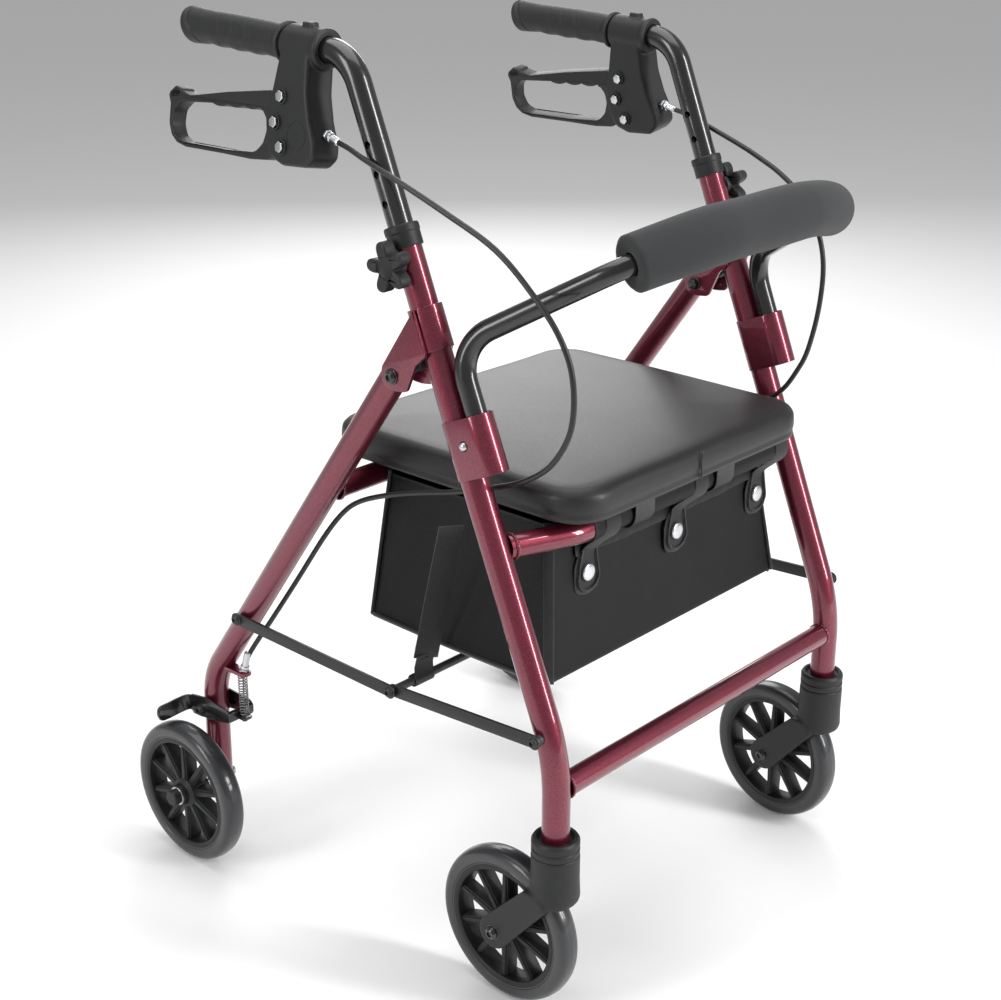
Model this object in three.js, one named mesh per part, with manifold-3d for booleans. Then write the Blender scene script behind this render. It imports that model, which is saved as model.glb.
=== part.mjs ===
// A folding four-wheeled walker (rollator) with a seat, a soft bag and loop brakes.
// Millimetres, +Z up, the user faces -Y, so the user's right hand is on -X.
// Every sub-part is built on the right-hand side and mirrored for the left-hand side.
// The origin is on the floor, under the middle of the whole walker.

import * as THREE from 'three';
import { mergeVertices } from 'three/addons/utils/BufferGeometryUtils.js';
import Module from 'manifold-3d';

const wasm = await Module();
wasm.setup();

// ---------------------------------------------------------------- driving dimensions

const GAP = 0.3;                       // clearance between touching pieces
const NOTCH = 25.4;                    // pitch of the height-adjustment holes
const LEG_X = 216;                     // half the spacing of the front legs
const LEG_R = 12.7;                    // one inch leg tube
const LEG_BORE_R = 11.5;
const HANDLE_R = 11.1;                 // seven-eighths inch handle tube
const TUBE_WALL = 1.5;
const BACK_R = 9.5;                    // three-quarter inch backrest tube

const COLLAR_TOP = [1.7, 706.2];       // y, z of the leg line at the top of the collar
const LEAN = 0.4065;                   // the front leg leans this much in y for each mm of z
const STEM_Y = -177.2;                 // swivel axis of the casters
const LEG_FOOT_Z = 176.6;
const LEG_BEND_R = 190;

const PIVOT = [-2.9, 579.7];           // y, z of the fold hinge
const REAR_LINE_Y = 6;                 // the rear leg's axis passes this far behind the hinge
const REAR_LEAN = 0.7156;
const REAR_FOOT_Y = 281;
const REAR_FOOT_Z = 62;
const REAR_TOP_X = 217.7;
const REAR_FOOT_X = 224;

const WHEEL_R = 76.2;                  // six inch wheels
const WHEEL_W = 25.4;
const RIM_R = 61;
const REAR_WHEEL_X = 265.2;
const REAR_AXLE_Y = 280;
const CASTER_TRAIL = 53.5;
const LEFT_CASTER_YAW = -0.099;        // the left caster stands a little turned

const PAD_Y = -211;                    // front of the backrest tube's arc
const PAD_Z = 706;
const PAD_R = 25;

const GRIP_Z = 844.5;                  // grip axis where the grip's flange is
const GRIP_Y = 130;
const GRIP_SLOPE = 0.045;
const BRAKE_ROLL = THREE.MathUtils.degToRad(9.5);   // brakes lean outward about the grip axis

const SEAT_W = 352;
const SEAT_FRONT = -166;
const SEAT_REAR = 152;
const SEAT_BOTTOM = 456;
const SEAT_RAIL = { y: -133, z: 443, r: 11 };
const REAR_RAIL = { y: 101, z: 444.6, r: 11 };

// The middle of the walker's length, from the backrest pad to the rear tyres.
const CENTRE_Y = (PAD_Y - PAD_R + REAR_AXLE_Y + WHEEL_R) / 2;

// ---------------------------------------------------------------- finishes

const finish = (color, roughness, metalness) => ({ color, roughness, metalness });
const RED = finish(0x6e1426, 0.3, 0.6);
const GLOSS_BLACK = finish(0x0c0c0d, 0.25, 0.4);
const MOULDED = finish(0x3a3c3e, 0.55, 0);
const TYRE = finish(0x47494c, 0.6, 0);
const VINYL = finish(0x1a1b1c, 0.45, 0);
const FOAM = finish(0x38393b, 0.8, 0);
const CLOTH = finish(0x141415, 0.85, 0);
const STEEL = finish(0xb9bcc0, 0.3, 1);

// ---------------------------------------------------------------- solids

/** A route through a list of points, with a ring of the section at each one. */
class Route extends THREE.Curve {
  constructor(points) {
    super();
    this.points = points;
  }

  getPoint(t, target = new THREE.Vector3()) {
    const spans = this.points.length - 1;
    const at = Math.min(Math.max(t, 0), 1) * spans;
    const index = Math.min(Math.floor(at), spans - 1);
    return target.lerpVectors(this.points[index], this.points[index + 1], at - index);
  }

  getUtoTmapping(u) {
    return u;
  }
}

const vec = (x, y, z) => new THREE.Vector3(x, y, z);

/** Rounds each inner corner of a list of points to a bend of its radius. */
function bent(points, radii, steps = 4) {
  const route = [points[0].clone()];
  for (let i = 1; i < points.length - 1; i += 1) {
    const back = points[i - 1].clone().sub(points[i]).normalize();
    const on = points[i + 1].clone().sub(points[i]).normalize();
    const half = back.angleTo(on) / 2;
    const radius = Array.isArray(radii) ? radii[i - 1] : radii;
    const reach = radius / Math.tan(half);
    const start = points[i].clone().addScaledVector(back, reach);
    const centre = back.clone().add(on).normalize().multiplyScalar(radius / Math.sin(half));
    centre.add(points[i]);
    const arm = start.clone().sub(centre);
    const axis = new THREE.Vector3().crossVectors(back, on).normalize();
    const turn = -(Math.PI - 2 * half);
    for (let k = 0; k <= steps; k += 1) {
      route.push(arm.clone().applyAxisAngle(axis, (turn * k) / steps).add(centre));
    }
  }
  route.push(points[points.length - 1].clone());
  return route;
}

/** A round tube or rod along a list of points. */
function tube(points, radius, { bore = 0, sides = 16 } = {}) {
  const section = new THREE.Shape().absarc(0, 0, radius, 0, 2 * Math.PI);
  if (bore) section.holes.push(new THREE.Path().absarc(0, 0, bore, 0, 2 * Math.PI));
  return new THREE.ExtrudeGeometry(section, {
    steps: points.length - 1,
    curveSegments: sides / 2,
    extrudePath: new Route(points),
  });
}

/** A straight round bar or sleeve between two points. */
function bar(from, to, radius, options = {}) {
  return tube([vec(...from), vec(...to)], radius, options);
}

/** A turned solid about the X axis, from its profile of [radius, x] pairs. */
function turnedX(profile, sides = 28) {
  const outline = profile.map(([r, x]) => new THREE.Vector2(r, x));
  return new THREE.LatheGeometry(outline, sides).rotateZ(-Math.PI / 2);
}

/** A turned solid about the Z axis, from its profile of [radius, z] pairs. */
function turnedZ(profile, sides = 16) {
  const outline = profile.map(([r, z]) => new THREE.Vector2(r, z));
  return new THREE.LatheGeometry(outline, sides).rotateX(Math.PI / 2);
}

/** A flat plate with its outline in the YZ plane, from x = from to x = to. */
function plate(shape, from, to, curveSegments = 6) {
  const solid = new THREE.ExtrudeGeometry(shape, {
    depth: to - from,
    bevelEnabled: false,
    curveSegments,
  });
  const standing = new THREE.Matrix4().makeBasis(vec(0, 1, 0), vec(0, 0, 1), vec(1, 0, 0));
  return solid.applyMatrix4(standing).translate(from, 0, 0);
}

/** A closed outline through [a, b] corners, anticlockwise whichever way they are given. */
function outline(corners) {
  const spots = corners.map(([a, b]) => new THREE.Vector2(a, b));
  return new THREE.Shape(THREE.ShapeUtils.isClockWise(spots) ? spots.reverse() : spots);
}

/** A slot-ended bar outline between two [y, z] points. */
function link(from, to, radius) {
  const angle = Math.atan2(to[1] - from[1], to[0] - from[0]);
  const shape = new THREE.Shape();
  shape.absarc(to[0], to[1], radius, angle - Math.PI / 2, angle + Math.PI / 2);
  shape.absarc(from[0], from[1], radius, angle + Math.PI / 2, angle + 1.5 * Math.PI);
  return shape;
}

/** Turns every face of a closed geometry outward. */
function facingOut(geometry) {
  const solid = geometry.index ? geometry.toNonIndexed() : geometry.clone();
  const spots = solid.attributes.position;
  let volume = 0;
  const [a, b, c] = [vec(0, 0, 0), vec(0, 0, 0), vec(0, 0, 0)];
  for (let i = 0; i < spots.count; i += 3) {
    a.fromBufferAttribute(spots, i);
    b.fromBufferAttribute(spots, i + 1);
    c.fromBufferAttribute(spots, i + 2);
    volume += a.dot(b.cross(c));
  }
  if (volume < 0) {
    for (let i = 0; i < spots.count; i += 3) {
      a.fromBufferAttribute(spots, i);
      b.fromBufferAttribute(spots, i + 1);
      spots.setXYZ(i, b.x, b.y, b.z);
      spots.setXYZ(i + 1, a.x, a.y, a.z);
    }
  }
  solid.computeVertexNormals();
  return solid;
}

/** The boolean solid of a geometry. */
function solidOf(geometry) {
  const bare = facingOut(geometry);
  for (const name of Object.keys(bare.attributes)) {
    if (name !== 'position') bare.deleteAttribute(name);
  }
  const merged = mergeVertices(bare, 1e-4);
  return new wasm.Manifold(new wasm.Mesh({
    numProp: 3,
    vertProperties: merged.attributes.position.array,
    triVerts: merged.index.array,
  }));
}

/** The geometry of a boolean solid. */
function geometryOf(solid) {
  const mesh = solid.getMesh();
  const geometry = new THREE.BufferGeometry();
  geometry.setAttribute('position', new THREE.BufferAttribute(mesh.vertProperties, 3));
  geometry.setIndex(new THREE.BufferAttribute(mesh.triVerts, 1));
  return geometry;
}

/** Joins the first list of geometries into one body, then cuts the second list away. */
function carve(joined, cuts = []) {
  let solid = joined.map(solidOf).reduce((sum, next) => sum.add(next));
  for (const cut of cuts) solid = solid.subtract(solidOf(cut));
  return geometryOf(solid);
}

const mirrored = (geometry) => facingOut(geometry.clone().scale(-1, 1, 1));

// ---------------------------------------------------------------- the two leg lines

const legDown = vec(0, -LEAN, -1).normalize();
const legForward = vec(0, -1, LEAN).normalize();

/** The point this far down the leg line, and this far in front of it. */
function onLeg(down, forward = 0, x = -LEG_X) {
  const point = vec(x, COLLAR_TOP[0], COLLAR_TOP[1]);
  return point.addScaledVector(legDown, down).addScaledVector(legForward, forward);
}

const legYAt = (z) => COLLAR_TOP[0] - LEAN * (COLLAR_TOP[1] - z);
const rearYAt = (z) => REAR_LINE_Y + REAR_LEAN * (PIVOT[1] - z);
const kneeZ = PIVOT[1] - (REAR_FOOT_Y - REAR_LINE_Y) / REAR_LEAN;
const kneeX = REAR_FOOT_X - 1;
const rearXAt = (z) => REAR_TOP_X + ((kneeX - REAR_TOP_X) * (PIVOT[1] - z)) / (PIVOT[1] - kneeZ);

/** Stands a geometry modelled along +Z, with z = 0 at the collar's top, on the leg line. */
function alongLeg(geometry, forward = 0) {
  const lie = new THREE.Matrix4().makeBasis(vec(1, 0, 0), legForward, legDown.clone().negate());
  const foot = onLeg(0, forward);
  return geometry.applyMatrix4(lie.setPosition(foot.x, foot.y, foot.z));
}

// ---------------------------------------------------------------- front frame

function frontLeg() {
  const bendZ = COLLAR_TOP[1] - (COLLAR_TOP[0] - STEM_Y) / LEAN;
  const corners = [onLeg(3.6), vec(-LEG_X, STEM_Y, bendZ), vec(-LEG_X, STEM_Y, LEG_FOOT_Z)];
  return tube(bent(corners, LEG_BEND_R), LEG_R, { bore: LEG_BORE_R });
}

function legCollar() {
  const ring = [[11.45, 0], [14.2, 0], [14.8, -1.2], [14.8, -18.8],
    [LEG_R + GAP, -18.8], [LEG_R + GAP, -3.3], [11.45, -3.3], [11.45, 0]];
  return alongLeg(turnedZ(ring));
}

const CROSS = { y: -177.2, z: 236, r: 11.1 };

function frontCrossTube() {
  const reach = LEG_X - LEG_R - GAP;
  const ends = { bore: CROSS.r - TUBE_WALL };
  return bar([-reach, CROSS.y, CROSS.z], [reach, CROSS.y, CROSS.z], CROSS.r, ends);
}

function seatRail() {
  const reach = LEG_X - LEG_R - 1;
  const legY = legYAt(SEAT_RAIL.z);
  const corners = [vec(-reach, legY - 4, SEAT_RAIL.z), vec(-140, SEAT_RAIL.y, SEAT_RAIL.z),
    vec(140, SEAT_RAIL.y, SEAT_RAIL.z), vec(reach, legY - 4, SEAT_RAIL.z)];
  return tube(bent(corners, 90, 3), SEAT_RAIL.r, { bore: SEAT_RAIL.r - TUBE_WALL, sides: 12 });
}

const HINGE_HALF = 17.3;
const HINGE_CHEEK = 2.4;
const HINGE_BOLT_R = 3;
const HINGE_HOLE_R = 3.2;

function hingeBracket() {
  const top = 70;
  const bottom = 108;
  const sleeve = alongLeg(turnedZ([[LEG_R + GAP, -top], [15.6, -top], [15.6, -bottom],
    [LEG_R + GAP, -bottom], [LEG_R + GAP, -top]]));
  const upper = onLeg(top, 6);
  const lower = onLeg(bottom + 4, 3);
  const cheek = outline([[upper.y, upper.z], [upper.y - 2, upper.z - 4], [lower.y, lower.z],
    [lower.y + 10, lower.z - 11], [-20, 569], [-8, 568], [1.5, 568], [7, 573], [9, 580],
    [8.5, 586], [-29.5, 642.5]]);
  const cheeks = [-1, 1].map((side) => {
    const middle = side * (HINGE_HALF - HINGE_CHEEK / 2) - REAR_TOP_X;
    return plate(cheek, middle - HINGE_CHEEK / 2, middle + HINGE_CHEEK / 2);
  });
  const bridge = onLeg(top + 2, -13);
  const web = plate(outline([[bridge.y - 9, bridge.z - 3], [bridge.y - 12, bridge.z - 26],
    [bridge.y - 3, bridge.z - 26], [bridge.y + 2, bridge.z - 5]]),
  -REAR_TOP_X - HINGE_HALF + 1, -REAR_TOP_X + HINGE_HALF - 1);
  const legRoom = alongLeg(turnedZ([[0, -40], [LEG_R + GAP, -40], [LEG_R + GAP, -150], [0, -150]]));
  const hole = bar([-260, ...PIVOT], [-180, ...PIVOT], HINGE_HOLE_R, { sides: 10 });
  return carve([sleeve, ...cheeks, web], [legRoom, hole]);
}

function hingeBolt() {
  const near = -REAR_TOP_X - HINGE_HALF - GAP;
  const far = -REAR_TOP_X + HINGE_HALF + GAP;
  const shank = bar([near - 1, ...PIVOT], [far + 1, ...PIVOT], HINGE_BOLT_R, { sides: 10 });
  const head = bar([near - 4.2, ...PIVOT], [near, ...PIVOT], 6.4, { sides: 10 });
  const nut = bar([far, ...PIVOT], [far + 5.5, ...PIVOT], 5.8, { sides: 6 });
  return carve([shank, head, nut]);
}

const SOCKET = { top: 168, bottom: 220, forward: 24, r: 14 };
const BUTTON = { down: 191, forward: 12.5, r: 4 };

function backrestBracket() {
  const shape = new THREE.Shape();
  shape.absarc(0, 0, SOCKET.r, Math.PI, 2 * Math.PI);
  shape.absarc(0, SOCKET.forward, SOCKET.r, 0, Math.PI);
  const long = SOCKET.bottom - SOCKET.top;
  const sleeve = new THREE.ExtrudeGeometry(shape, {
    depth: long, bevelEnabled: false, curveSegments: 6,
  });
  const block = alongLeg(sleeve.translate(0, 0, -SOCKET.bottom));
  const room = (radius, forward) => alongLeg(
    turnedZ([[0, -SOCKET.top + 9], [radius, -SOCKET.top + 9],
      [radius, -SOCKET.bottom - 9], [0, -SOCKET.bottom - 9]]), forward);
  const seat = onLeg(BUTTON.down, BUTTON.forward);
  const pocket = bar([-LEG_X - SOCKET.r + 6.2, seat.y, seat.z],
    [-LEG_X - SOCKET.r - 3, seat.y, seat.z], BUTTON.r + 0.35, { sides: 10 });
  return carve([block], [room(LEG_R + GAP, 0), room(BACK_R + GAP, SOCKET.forward), pocket]);
}

function snapButton() {
  const seat = onLeg(BUTTON.down, BUTTON.forward);
  const face = -LEG_X - SOCKET.r;
  const dome = [[0, face + 1.9], [BUTTON.r, face + 1.9], [BUTTON.r, face - 1.4],
    [BUTTON.r - 1.2, face - 2.8], [0, face - 3.4]];
  return turnedX(dome, 12).translate(0, seat.y, seat.z);
}

const BACKREST_ELBOW_R = 38;
const BACKREST_SHOULDER = [-152, -187, 691];

/** The middle line of the backrest bar, from the right socket round to the left one. */
function backrestRoute() {
  const foot = onLeg(SOCKET.bottom - 6, SOCKET.forward);
  const elbow = onLeg(108, SOCKET.forward);
  const half = [foot, elbow, vec(...BACKREST_SHOULDER), vec(-62, PAD_Y, PAD_Z)];
  const other = half.map((p) => vec(-p.x, p.y, p.z)).reverse();
  const radii = [BACKREST_ELBOW_R, 52, 260];
  return bent([...half, ...other], [...radii, ...radii.slice().reverse()], 3);
}

function backrestBar() {
  return tube(backrestRoute(), BACK_R, { bore: BACK_R - TUBE_WALL, sides: 10 });
}

/** The foam sleeve over the middle of the backrest bar. */
function backrestPad() {
  const spots = [];
  for (let k = 0; k <= 8; k += 1) {
    const x = PAD_HALF * (k / 4 - 1);
    spots.push(vec(x, PAD_Y + padSag(x), PAD_Z - 0.62 * padSag(x)));
  }
  return carve([tube(spots, PAD_R)], [tube(backrestRoute(), BACK_R + 2 * GAP, { sides: 10 })]);
}

const PAD_HALF = 138;
const padSag = (x) => Math.max(0, (Math.abs(x) - 55) / 83) ** 1.5 * 21;

// ---------------------------------------------------------------- seat and bag

const CLIP_X = 62;

function seatBoard() {
  const board = cushionOutline(6);
  const slab = new THREE.ExtrudeGeometry(board, { depth: 5, bevelEnabled: false, curveSegments: 4 });
  slab.translate(0, 0, SEAT_BOTTOM + GAP);
  const clips = [-CLIP_X, CLIP_X].map((x) => {
    const hook = plate(outline([[SEAT_RAIL.y - 15, SEAT_BOTTOM + 3], [SEAT_RAIL.y - 15, SEAT_RAIL.z - 8],
      [SEAT_RAIL.y - 9, SEAT_RAIL.z - 14], [SEAT_RAIL.y + 9, SEAT_RAIL.z - 14],
      [SEAT_RAIL.y + 15, SEAT_RAIL.z - 8], [SEAT_RAIL.y + 15, SEAT_BOTTOM + 3]]), x - 14, x + 14);
    return hook;
  });
  const rail = bar([-160, SEAT_RAIL.y, SEAT_RAIL.z], [160, SEAT_RAIL.y, SEAT_RAIL.z], SEAT_RAIL.r + GAP);
  return carve([slab, ...clips], [rail]);
}

/** The seat's rounded outline from above, this far inside its edge. */
function cushionOutline(inset) {
  const half = SEAT_W / 2 - inset;
  const front = SEAT_FRONT + inset;
  const rear = SEAT_REAR - inset;
  const r = 42 - inset;
  const shape = new THREE.Shape();
  shape.absarc(half - r, rear - r, r, 0, Math.PI / 2);
  shape.absarc(-half + r, rear - r, r, Math.PI / 2, Math.PI);
  shape.absarc(-half + r, front + r, r, Math.PI, 1.5 * Math.PI);
  shape.absarc(half - r, front + r, r, 1.5 * Math.PI, 2 * Math.PI);
  return shape;
}

function seatCushion() {
  const pad = new THREE.ExtrudeGeometry(cushionOutline(9), {
    depth: 18, bevelEnabled: true, bevelThickness: 9, bevelSize: 9, bevelSegments: 2, curveSegments: 4,
  });
  return pad.translate(0, 0, SEAT_BOTTOM + 5 + 2 * GAP + 9);
}

// Bag: [y, z] of the front and rear panels at the top and the bottom, and the half widths.
const BAG = {
  top: { front: -112, rear: 84, half: 154, z: 437 },
  bottom: { front: -133, rear: 94, half: 176, z: 306 },
  wall: 3,
};

/** A box whose top and bottom are different rectangles, lofted between them. */
function loftedBox(top, bottom, inset, lift) {
  const corner = (level, sx, front, dz) => [sx * (level.half - inset),
    front ? level.front + inset : level.rear - inset, level.z + dz];
  const spots = [];
  for (const [level, dz] of [[bottom, lift], [top, inset ? 2 : 0]]) {
    spots.push(corner(level, -1, true, dz), corner(level, 1, true, dz));
    spots.push(corner(level, 1, false, dz), corner(level, -1, false, dz));
  }
  const geometry = new THREE.BufferGeometry();
  geometry.setAttribute('position', new THREE.BufferAttribute(new Float32Array(spots.flat()), 3));
  geometry.setIndex([0, 2, 1, 0, 3, 2, 4, 5, 6, 4, 6, 7,
    0, 1, 5, 0, 5, 4, 1, 2, 6, 1, 6, 5, 2, 3, 7, 2, 7, 6, 3, 0, 4, 3, 4, 7]);
  return geometry;
}

function bag() {
  return carve([loftedBox(BAG.top, BAG.bottom, 0, 0)],
    [loftedBox(BAG.top, BAG.bottom, BAG.wall, BAG.wall)]);
}

const SPREADER = { rear: [221, 282], mid: [5, 277], front: [-167.5, 287.5], half: 6, thick: 3 };
const ROD_R = 4;
const STRAP = { x: -197, wide: 24, top: [-36, 440], thick: 1.6 };

/** The webbing loop that is pulled up to fold the walker. */
function pullStrap() {
  const [midY, midZ] = SPREADER.mid;
  const lean = Math.atan2(STRAP.top[0] - midY, STRAP.top[1] - midZ);
  const long = Math.hypot(STRAP.top[0] - midY, STRAP.top[1] - midZ);
  const band = new THREE.Shape();
  const r = ROD_R + GAP + 0.2 + STRAP.thick;
  band.absarc(0, 0, r, Math.PI, 2 * Math.PI);
  band.lineTo(STRAP.thick, 26);
  band.lineTo(STRAP.thick / 2, long);
  band.lineTo(-STRAP.thick / 2, long);
  band.lineTo(-STRAP.thick, 26);
  const eye = new THREE.Path();
  eye.absarc(0, 0, ROD_R + GAP + 0.2, 0, 2 * Math.PI);
  band.holes.push(eye);
  const strap = plate(band, -STRAP.wide / 2, STRAP.wide / 2);
  return strap.rotateX(-lean).translate(STRAP.x, midY, midZ);
}

// ---------------------------------------------------------------- rear frame

function rearLeg() {
  const lead = 13;
  const along = Math.hypot(REAR_LEAN, 1);
  const topZ = PIVOT[1] + lead / along;
  const corners = [vec(-rearXAt(topZ), rearYAt(topZ), topZ), vec(-kneeX, REAR_FOOT_Y, kneeZ),
    vec(-REAR_FOOT_X, REAR_FOOT_Y, REAR_FOOT_Z)];
  const leg = tube(bent(corners, 80), LEG_R, { bore: LEG_R - TUBE_WALL });
  const hinge = bar([-260, ...PIVOT], [-180, ...PIVOT], HINGE_HOLE_R, { sides: 10 });
  const axle = bar([-260, REAR_AXLE_Y, WHEEL_R], [-180, REAR_AXLE_Y, WHEEL_R], 4.3, { sides: 10 });
  const brake = bar([-260, ...BRAKE_PIVOT], [-180, ...BRAKE_PIVOT], HINGE_HOLE_R, { sides: 10 });
  return carve([leg], [hinge, axle, brake]);
}

function rearCrossTube() {
  const reach = rearXAt(REAR_RAIL.z) - LEG_R - GAP;
  return bar([-reach, REAR_RAIL.y, REAR_RAIL.z], [reach, REAR_RAIL.y, REAR_RAIL.z], REAR_RAIL.r,
    { bore: REAR_RAIL.r - TUBE_WALL });
}

function rearAxle() {
  const inner = -REAR_FOOT_X + LEG_R + GAP;
  const cap = -REAR_WHEEL_X - HUB.half - GAP;
  const shape = [[0, inner + 5], [6.5, inner + 5], [6.5, inner], [4, inner], [4, cap],
    [8.6, cap], [8.6, cap - 6], [7, cap - 8.4], [0, cap - 8.8]];
  return turnedX(shape, 16).translate(0, REAR_AXLE_Y, WHEEL_R);
}

// ---------------------------------------------------------------- wheels

const HUB = { r: 16, half: 17.3, bore: 4.3 };
const SPOKES = 10;

function tyre() {
  const half = WHEEL_W / 2;
  const ring = [[RIM_R, -half + 1], [WHEEL_R - 6, -half + 1], [WHEEL_R - 1.5, -half + 5.5],
    [WHEEL_R, 0], [WHEEL_R - 1.5, half - 5.5], [WHEEL_R - 6, half - 1], [RIM_R, half - 1],
    [RIM_R, -half + 1]];
  return turnedX(ring);
}

function wheelCore() {
  const rim = turnedX([[55, -10], [RIM_R - GAP, -10], [RIM_R - GAP, 10], [55, 10], [55, -10]]);
  const hub = turnedX([[HUB.bore, -HUB.half], [HUB.r, -HUB.half], [HUB.r, HUB.half],
    [HUB.bore, HUB.half], [HUB.bore, -HUB.half]], 14);
  const spokes = [];
  for (let k = 0; k < SPOKES; k += 1) {
    const blade = outline([[HUB.r - 3, -5.5], [57, -3.2], [57, 3.2], [HUB.r - 3, 5.5]]);
    spokes.push(plate(blade, -7, 7).rotateX((2 * Math.PI * (k + 0.5)) / SPOKES));
  }
  return carve([rim, hub, ...spokes]);
}

// ---------------------------------------------------------------- casters
// Modelled about the swivel axis, on the floor.

const FORK = { half: 24.6, arm: 6, top: 173.9, crown: 19.3 };

function casterCap() {
  const top = 189.6;
  return turnedZ([[0, 148], [5, 148], [5, FORK.top + GAP], [FORK.crown, FORK.top + GAP],
    [FORK.crown, top - 3], [17.6, top], [LEG_R + GAP, top], [LEG_R + GAP, LEG_FOOT_Z - GAP],
    [0, LEG_FOOT_Z - GAP]]);
}

function casterFork() {
  const crown = turnedZ([[0, 130], [FORK.crown, 130], [FORK.crown, FORK.top], [0, FORK.top]]);
  const side = new THREE.Shape();
  side.absarc(CASTER_TRAIL, WHEEL_R, 16.5, -Math.PI / 4 - 0.5, Math.PI / 4 - 0.05);
  side.lineTo(21, 142);
  side.lineTo(18, 156);
  side.lineTo(-18.5, 156);
  side.lineTo(-21.5, 134);
  side.lineTo(-19, 127);
  const cheeks = plate(side, -FORK.half, FORK.half);
  const inner = FORK.half - FORK.arm;
  const room = turnedX([[0, -inner], [81, -inner], [81, inner], [0, inner]], 32);
  room.translate(0, CASTER_TRAIL, WHEEL_R);
  const stem = bar([0, 0, 140], [0, 0, 180], 5.4);
  const bolt = bar([-60, CASTER_TRAIL, WHEEL_R], [60, CASTER_TRAIL, WHEEL_R], 4.3, { sides: 10 });
  return carve([crown, cheeks], [room, stem, bolt]);
}

/** The caster's axle bolt, with its head on the user's right and its cap on the left. */
function casterAxle() {
  const face = FORK.half + GAP;
  return turnedX([[0, -face - 4.5], [6.8, -face - 4.5], [6.8, -face], [4, -face], [4, face],
    [8, face], [8, face + 8], [6.5, face + 9.6], [0, face + 10]], 16)
    .translate(0, CASTER_TRAIL, WHEEL_R);
}

// ---------------------------------------------------------------- spreader

function spreaderLink(from, to, outerX) {
  const strip = plate(link(from, to, SPREADER.half), outerX, outerX + SPREADER.thick, 5);
  return strip;
}

const FRONT_LINK_X = -LEG_X - LEG_R - 6.8;
const REAR_LINK_X = FRONT_LINK_X - SPREADER.thick - GAP;

function frontLink() {
  const head = bar([FRONT_LINK_X - 4, ...SPREADER.front], [FRONT_LINK_X + 1, ...SPREADER.front], 6,
    { sides: 10 });
  const spacer = bar([FRONT_LINK_X + 1, ...SPREADER.front], [-LEG_X - LEG_R - GAP, ...SPREADER.front], 5,
    { sides: 10 });
  return carve([spreaderLink(SPREADER.front, SPREADER.mid, FRONT_LINK_X), head, spacer]);
}

function rearLink() {
  const head = bar([REAR_LINK_X - 4, ...SPREADER.rear], [REAR_LINK_X + 1, ...SPREADER.rear], 6,
    { sides: 10 });
  const nut = bar([REAR_LINK_X - 4, ...SPREADER.mid], [REAR_LINK_X + 1, ...SPREADER.mid], 5.5,
    { sides: 10 });
  return carve([spreaderLink(SPREADER.rear, SPREADER.mid, REAR_LINK_X), head, nut]);
}

function spreaderRod() {
  const reach = -FRONT_LINK_X - SPREADER.thick - GAP;
  return bar([-reach, ...SPREADER.mid], [reach, ...SPREADER.mid], ROD_R, { sides: 10 });
}

// ---------------------------------------------------------------- rear brakes

const BRAKE_PIVOT = [288, 157];
const SPRING = { x: -224, y: 235.4, bottom: 163.6, top: 210.6, r: 5.2 };
const LUG = { bottom: 211, top: 215, front: 226 };

/** The tab on the rear leg that holds the end of the brake cable. */
function cableLug() {
  const tab = outline([[LUG.front, LUG.bottom], [264, LUG.bottom], [262, LUG.top], [LUG.front, LUG.top]]);
  return plate(tab, SPRING.x - 6.5, SPRING.x + 6.5);
}

function brakeArm() {
  const thick = 2.5;
  const outer = -REAR_FOOT_X - LEG_R - 0.6;
  const inner = -REAR_FOOT_X + LEG_R + 1.6;
  const side = outline([[312, 150], [312, 166], [303, 171], [281, 174], [246, 172],
    [241, 168], [241, 158], [252, 155], [291, 150]]);
  const innerSide = outline([[296, 151], [296, 164], [281, 174], [246, 172], [241, 168],
    [241, 158], [252, 155], [288, 150]]);
  const cheeks = [plate(side, outer - thick, outer), plate(innerSide, inner, inner + thick)];
  const web = plate(outline([[241, 158], [243.5, 157], [243.5, 171], [241, 168]]),
    outer - 1, inner + 1);
  const hook = plate(outline([[229, 160.4], [242, 160.4], [242, 163], [229, 163]]),
    SPRING.x - 6, SPRING.x + 6);
  const shoe = plate(outline([[309.5, 150], [312, 150], [312, 166], [309.5, 166]]),
    -REAR_WHEEL_X - WHEEL_W / 2, outer - 1);
  const bolt = bar([outer - thick - 3.4, ...BRAKE_PIVOT], [inner + thick + 3, ...BRAKE_PIVOT],
    HINGE_BOLT_R, { sides: 10 });
  const head = bar([outer - thick - 3.6, ...BRAKE_PIVOT], [outer - 1, ...BRAKE_PIVOT], 5.2,
    { sides: 10 });
  return carve([...cheeks, web, hook, shoe, bolt, head]);
}

function brakeSpring() {
  const { x, y, bottom, top, r } = SPRING;
  return bar([x, y, bottom], [x, y, top], r, { sides: 10 });
}

// ---------------------------------------------------------------- handles
// Drawn at the right hand's notch: the left handle stands one notch lower.

const gripDirection = vec(0, 1, GRIP_SLOPE).normalize();
const GRIP_END_Y = 256;
const CORNER_Y = 56.6;
const KNOB_DOWN = 31.5;
const ADJUSTMENT_HOLES = [-2, -1, 0, 1, 2, 3];

/** Lays a geometry modelled along +Z on the grip's axis, with z = 0 at the flange. */
function alongGrip(geometry) {
  const down = vec(0, GRIP_SLOPE, -1).normalize();
  const lie = new THREE.Matrix4().makeBasis(vec(1, 0, 0), down, gripDirection);
  return geometry.applyMatrix4(lie.setPosition(-LEG_X, GRIP_Y, GRIP_Z));
}

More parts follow.
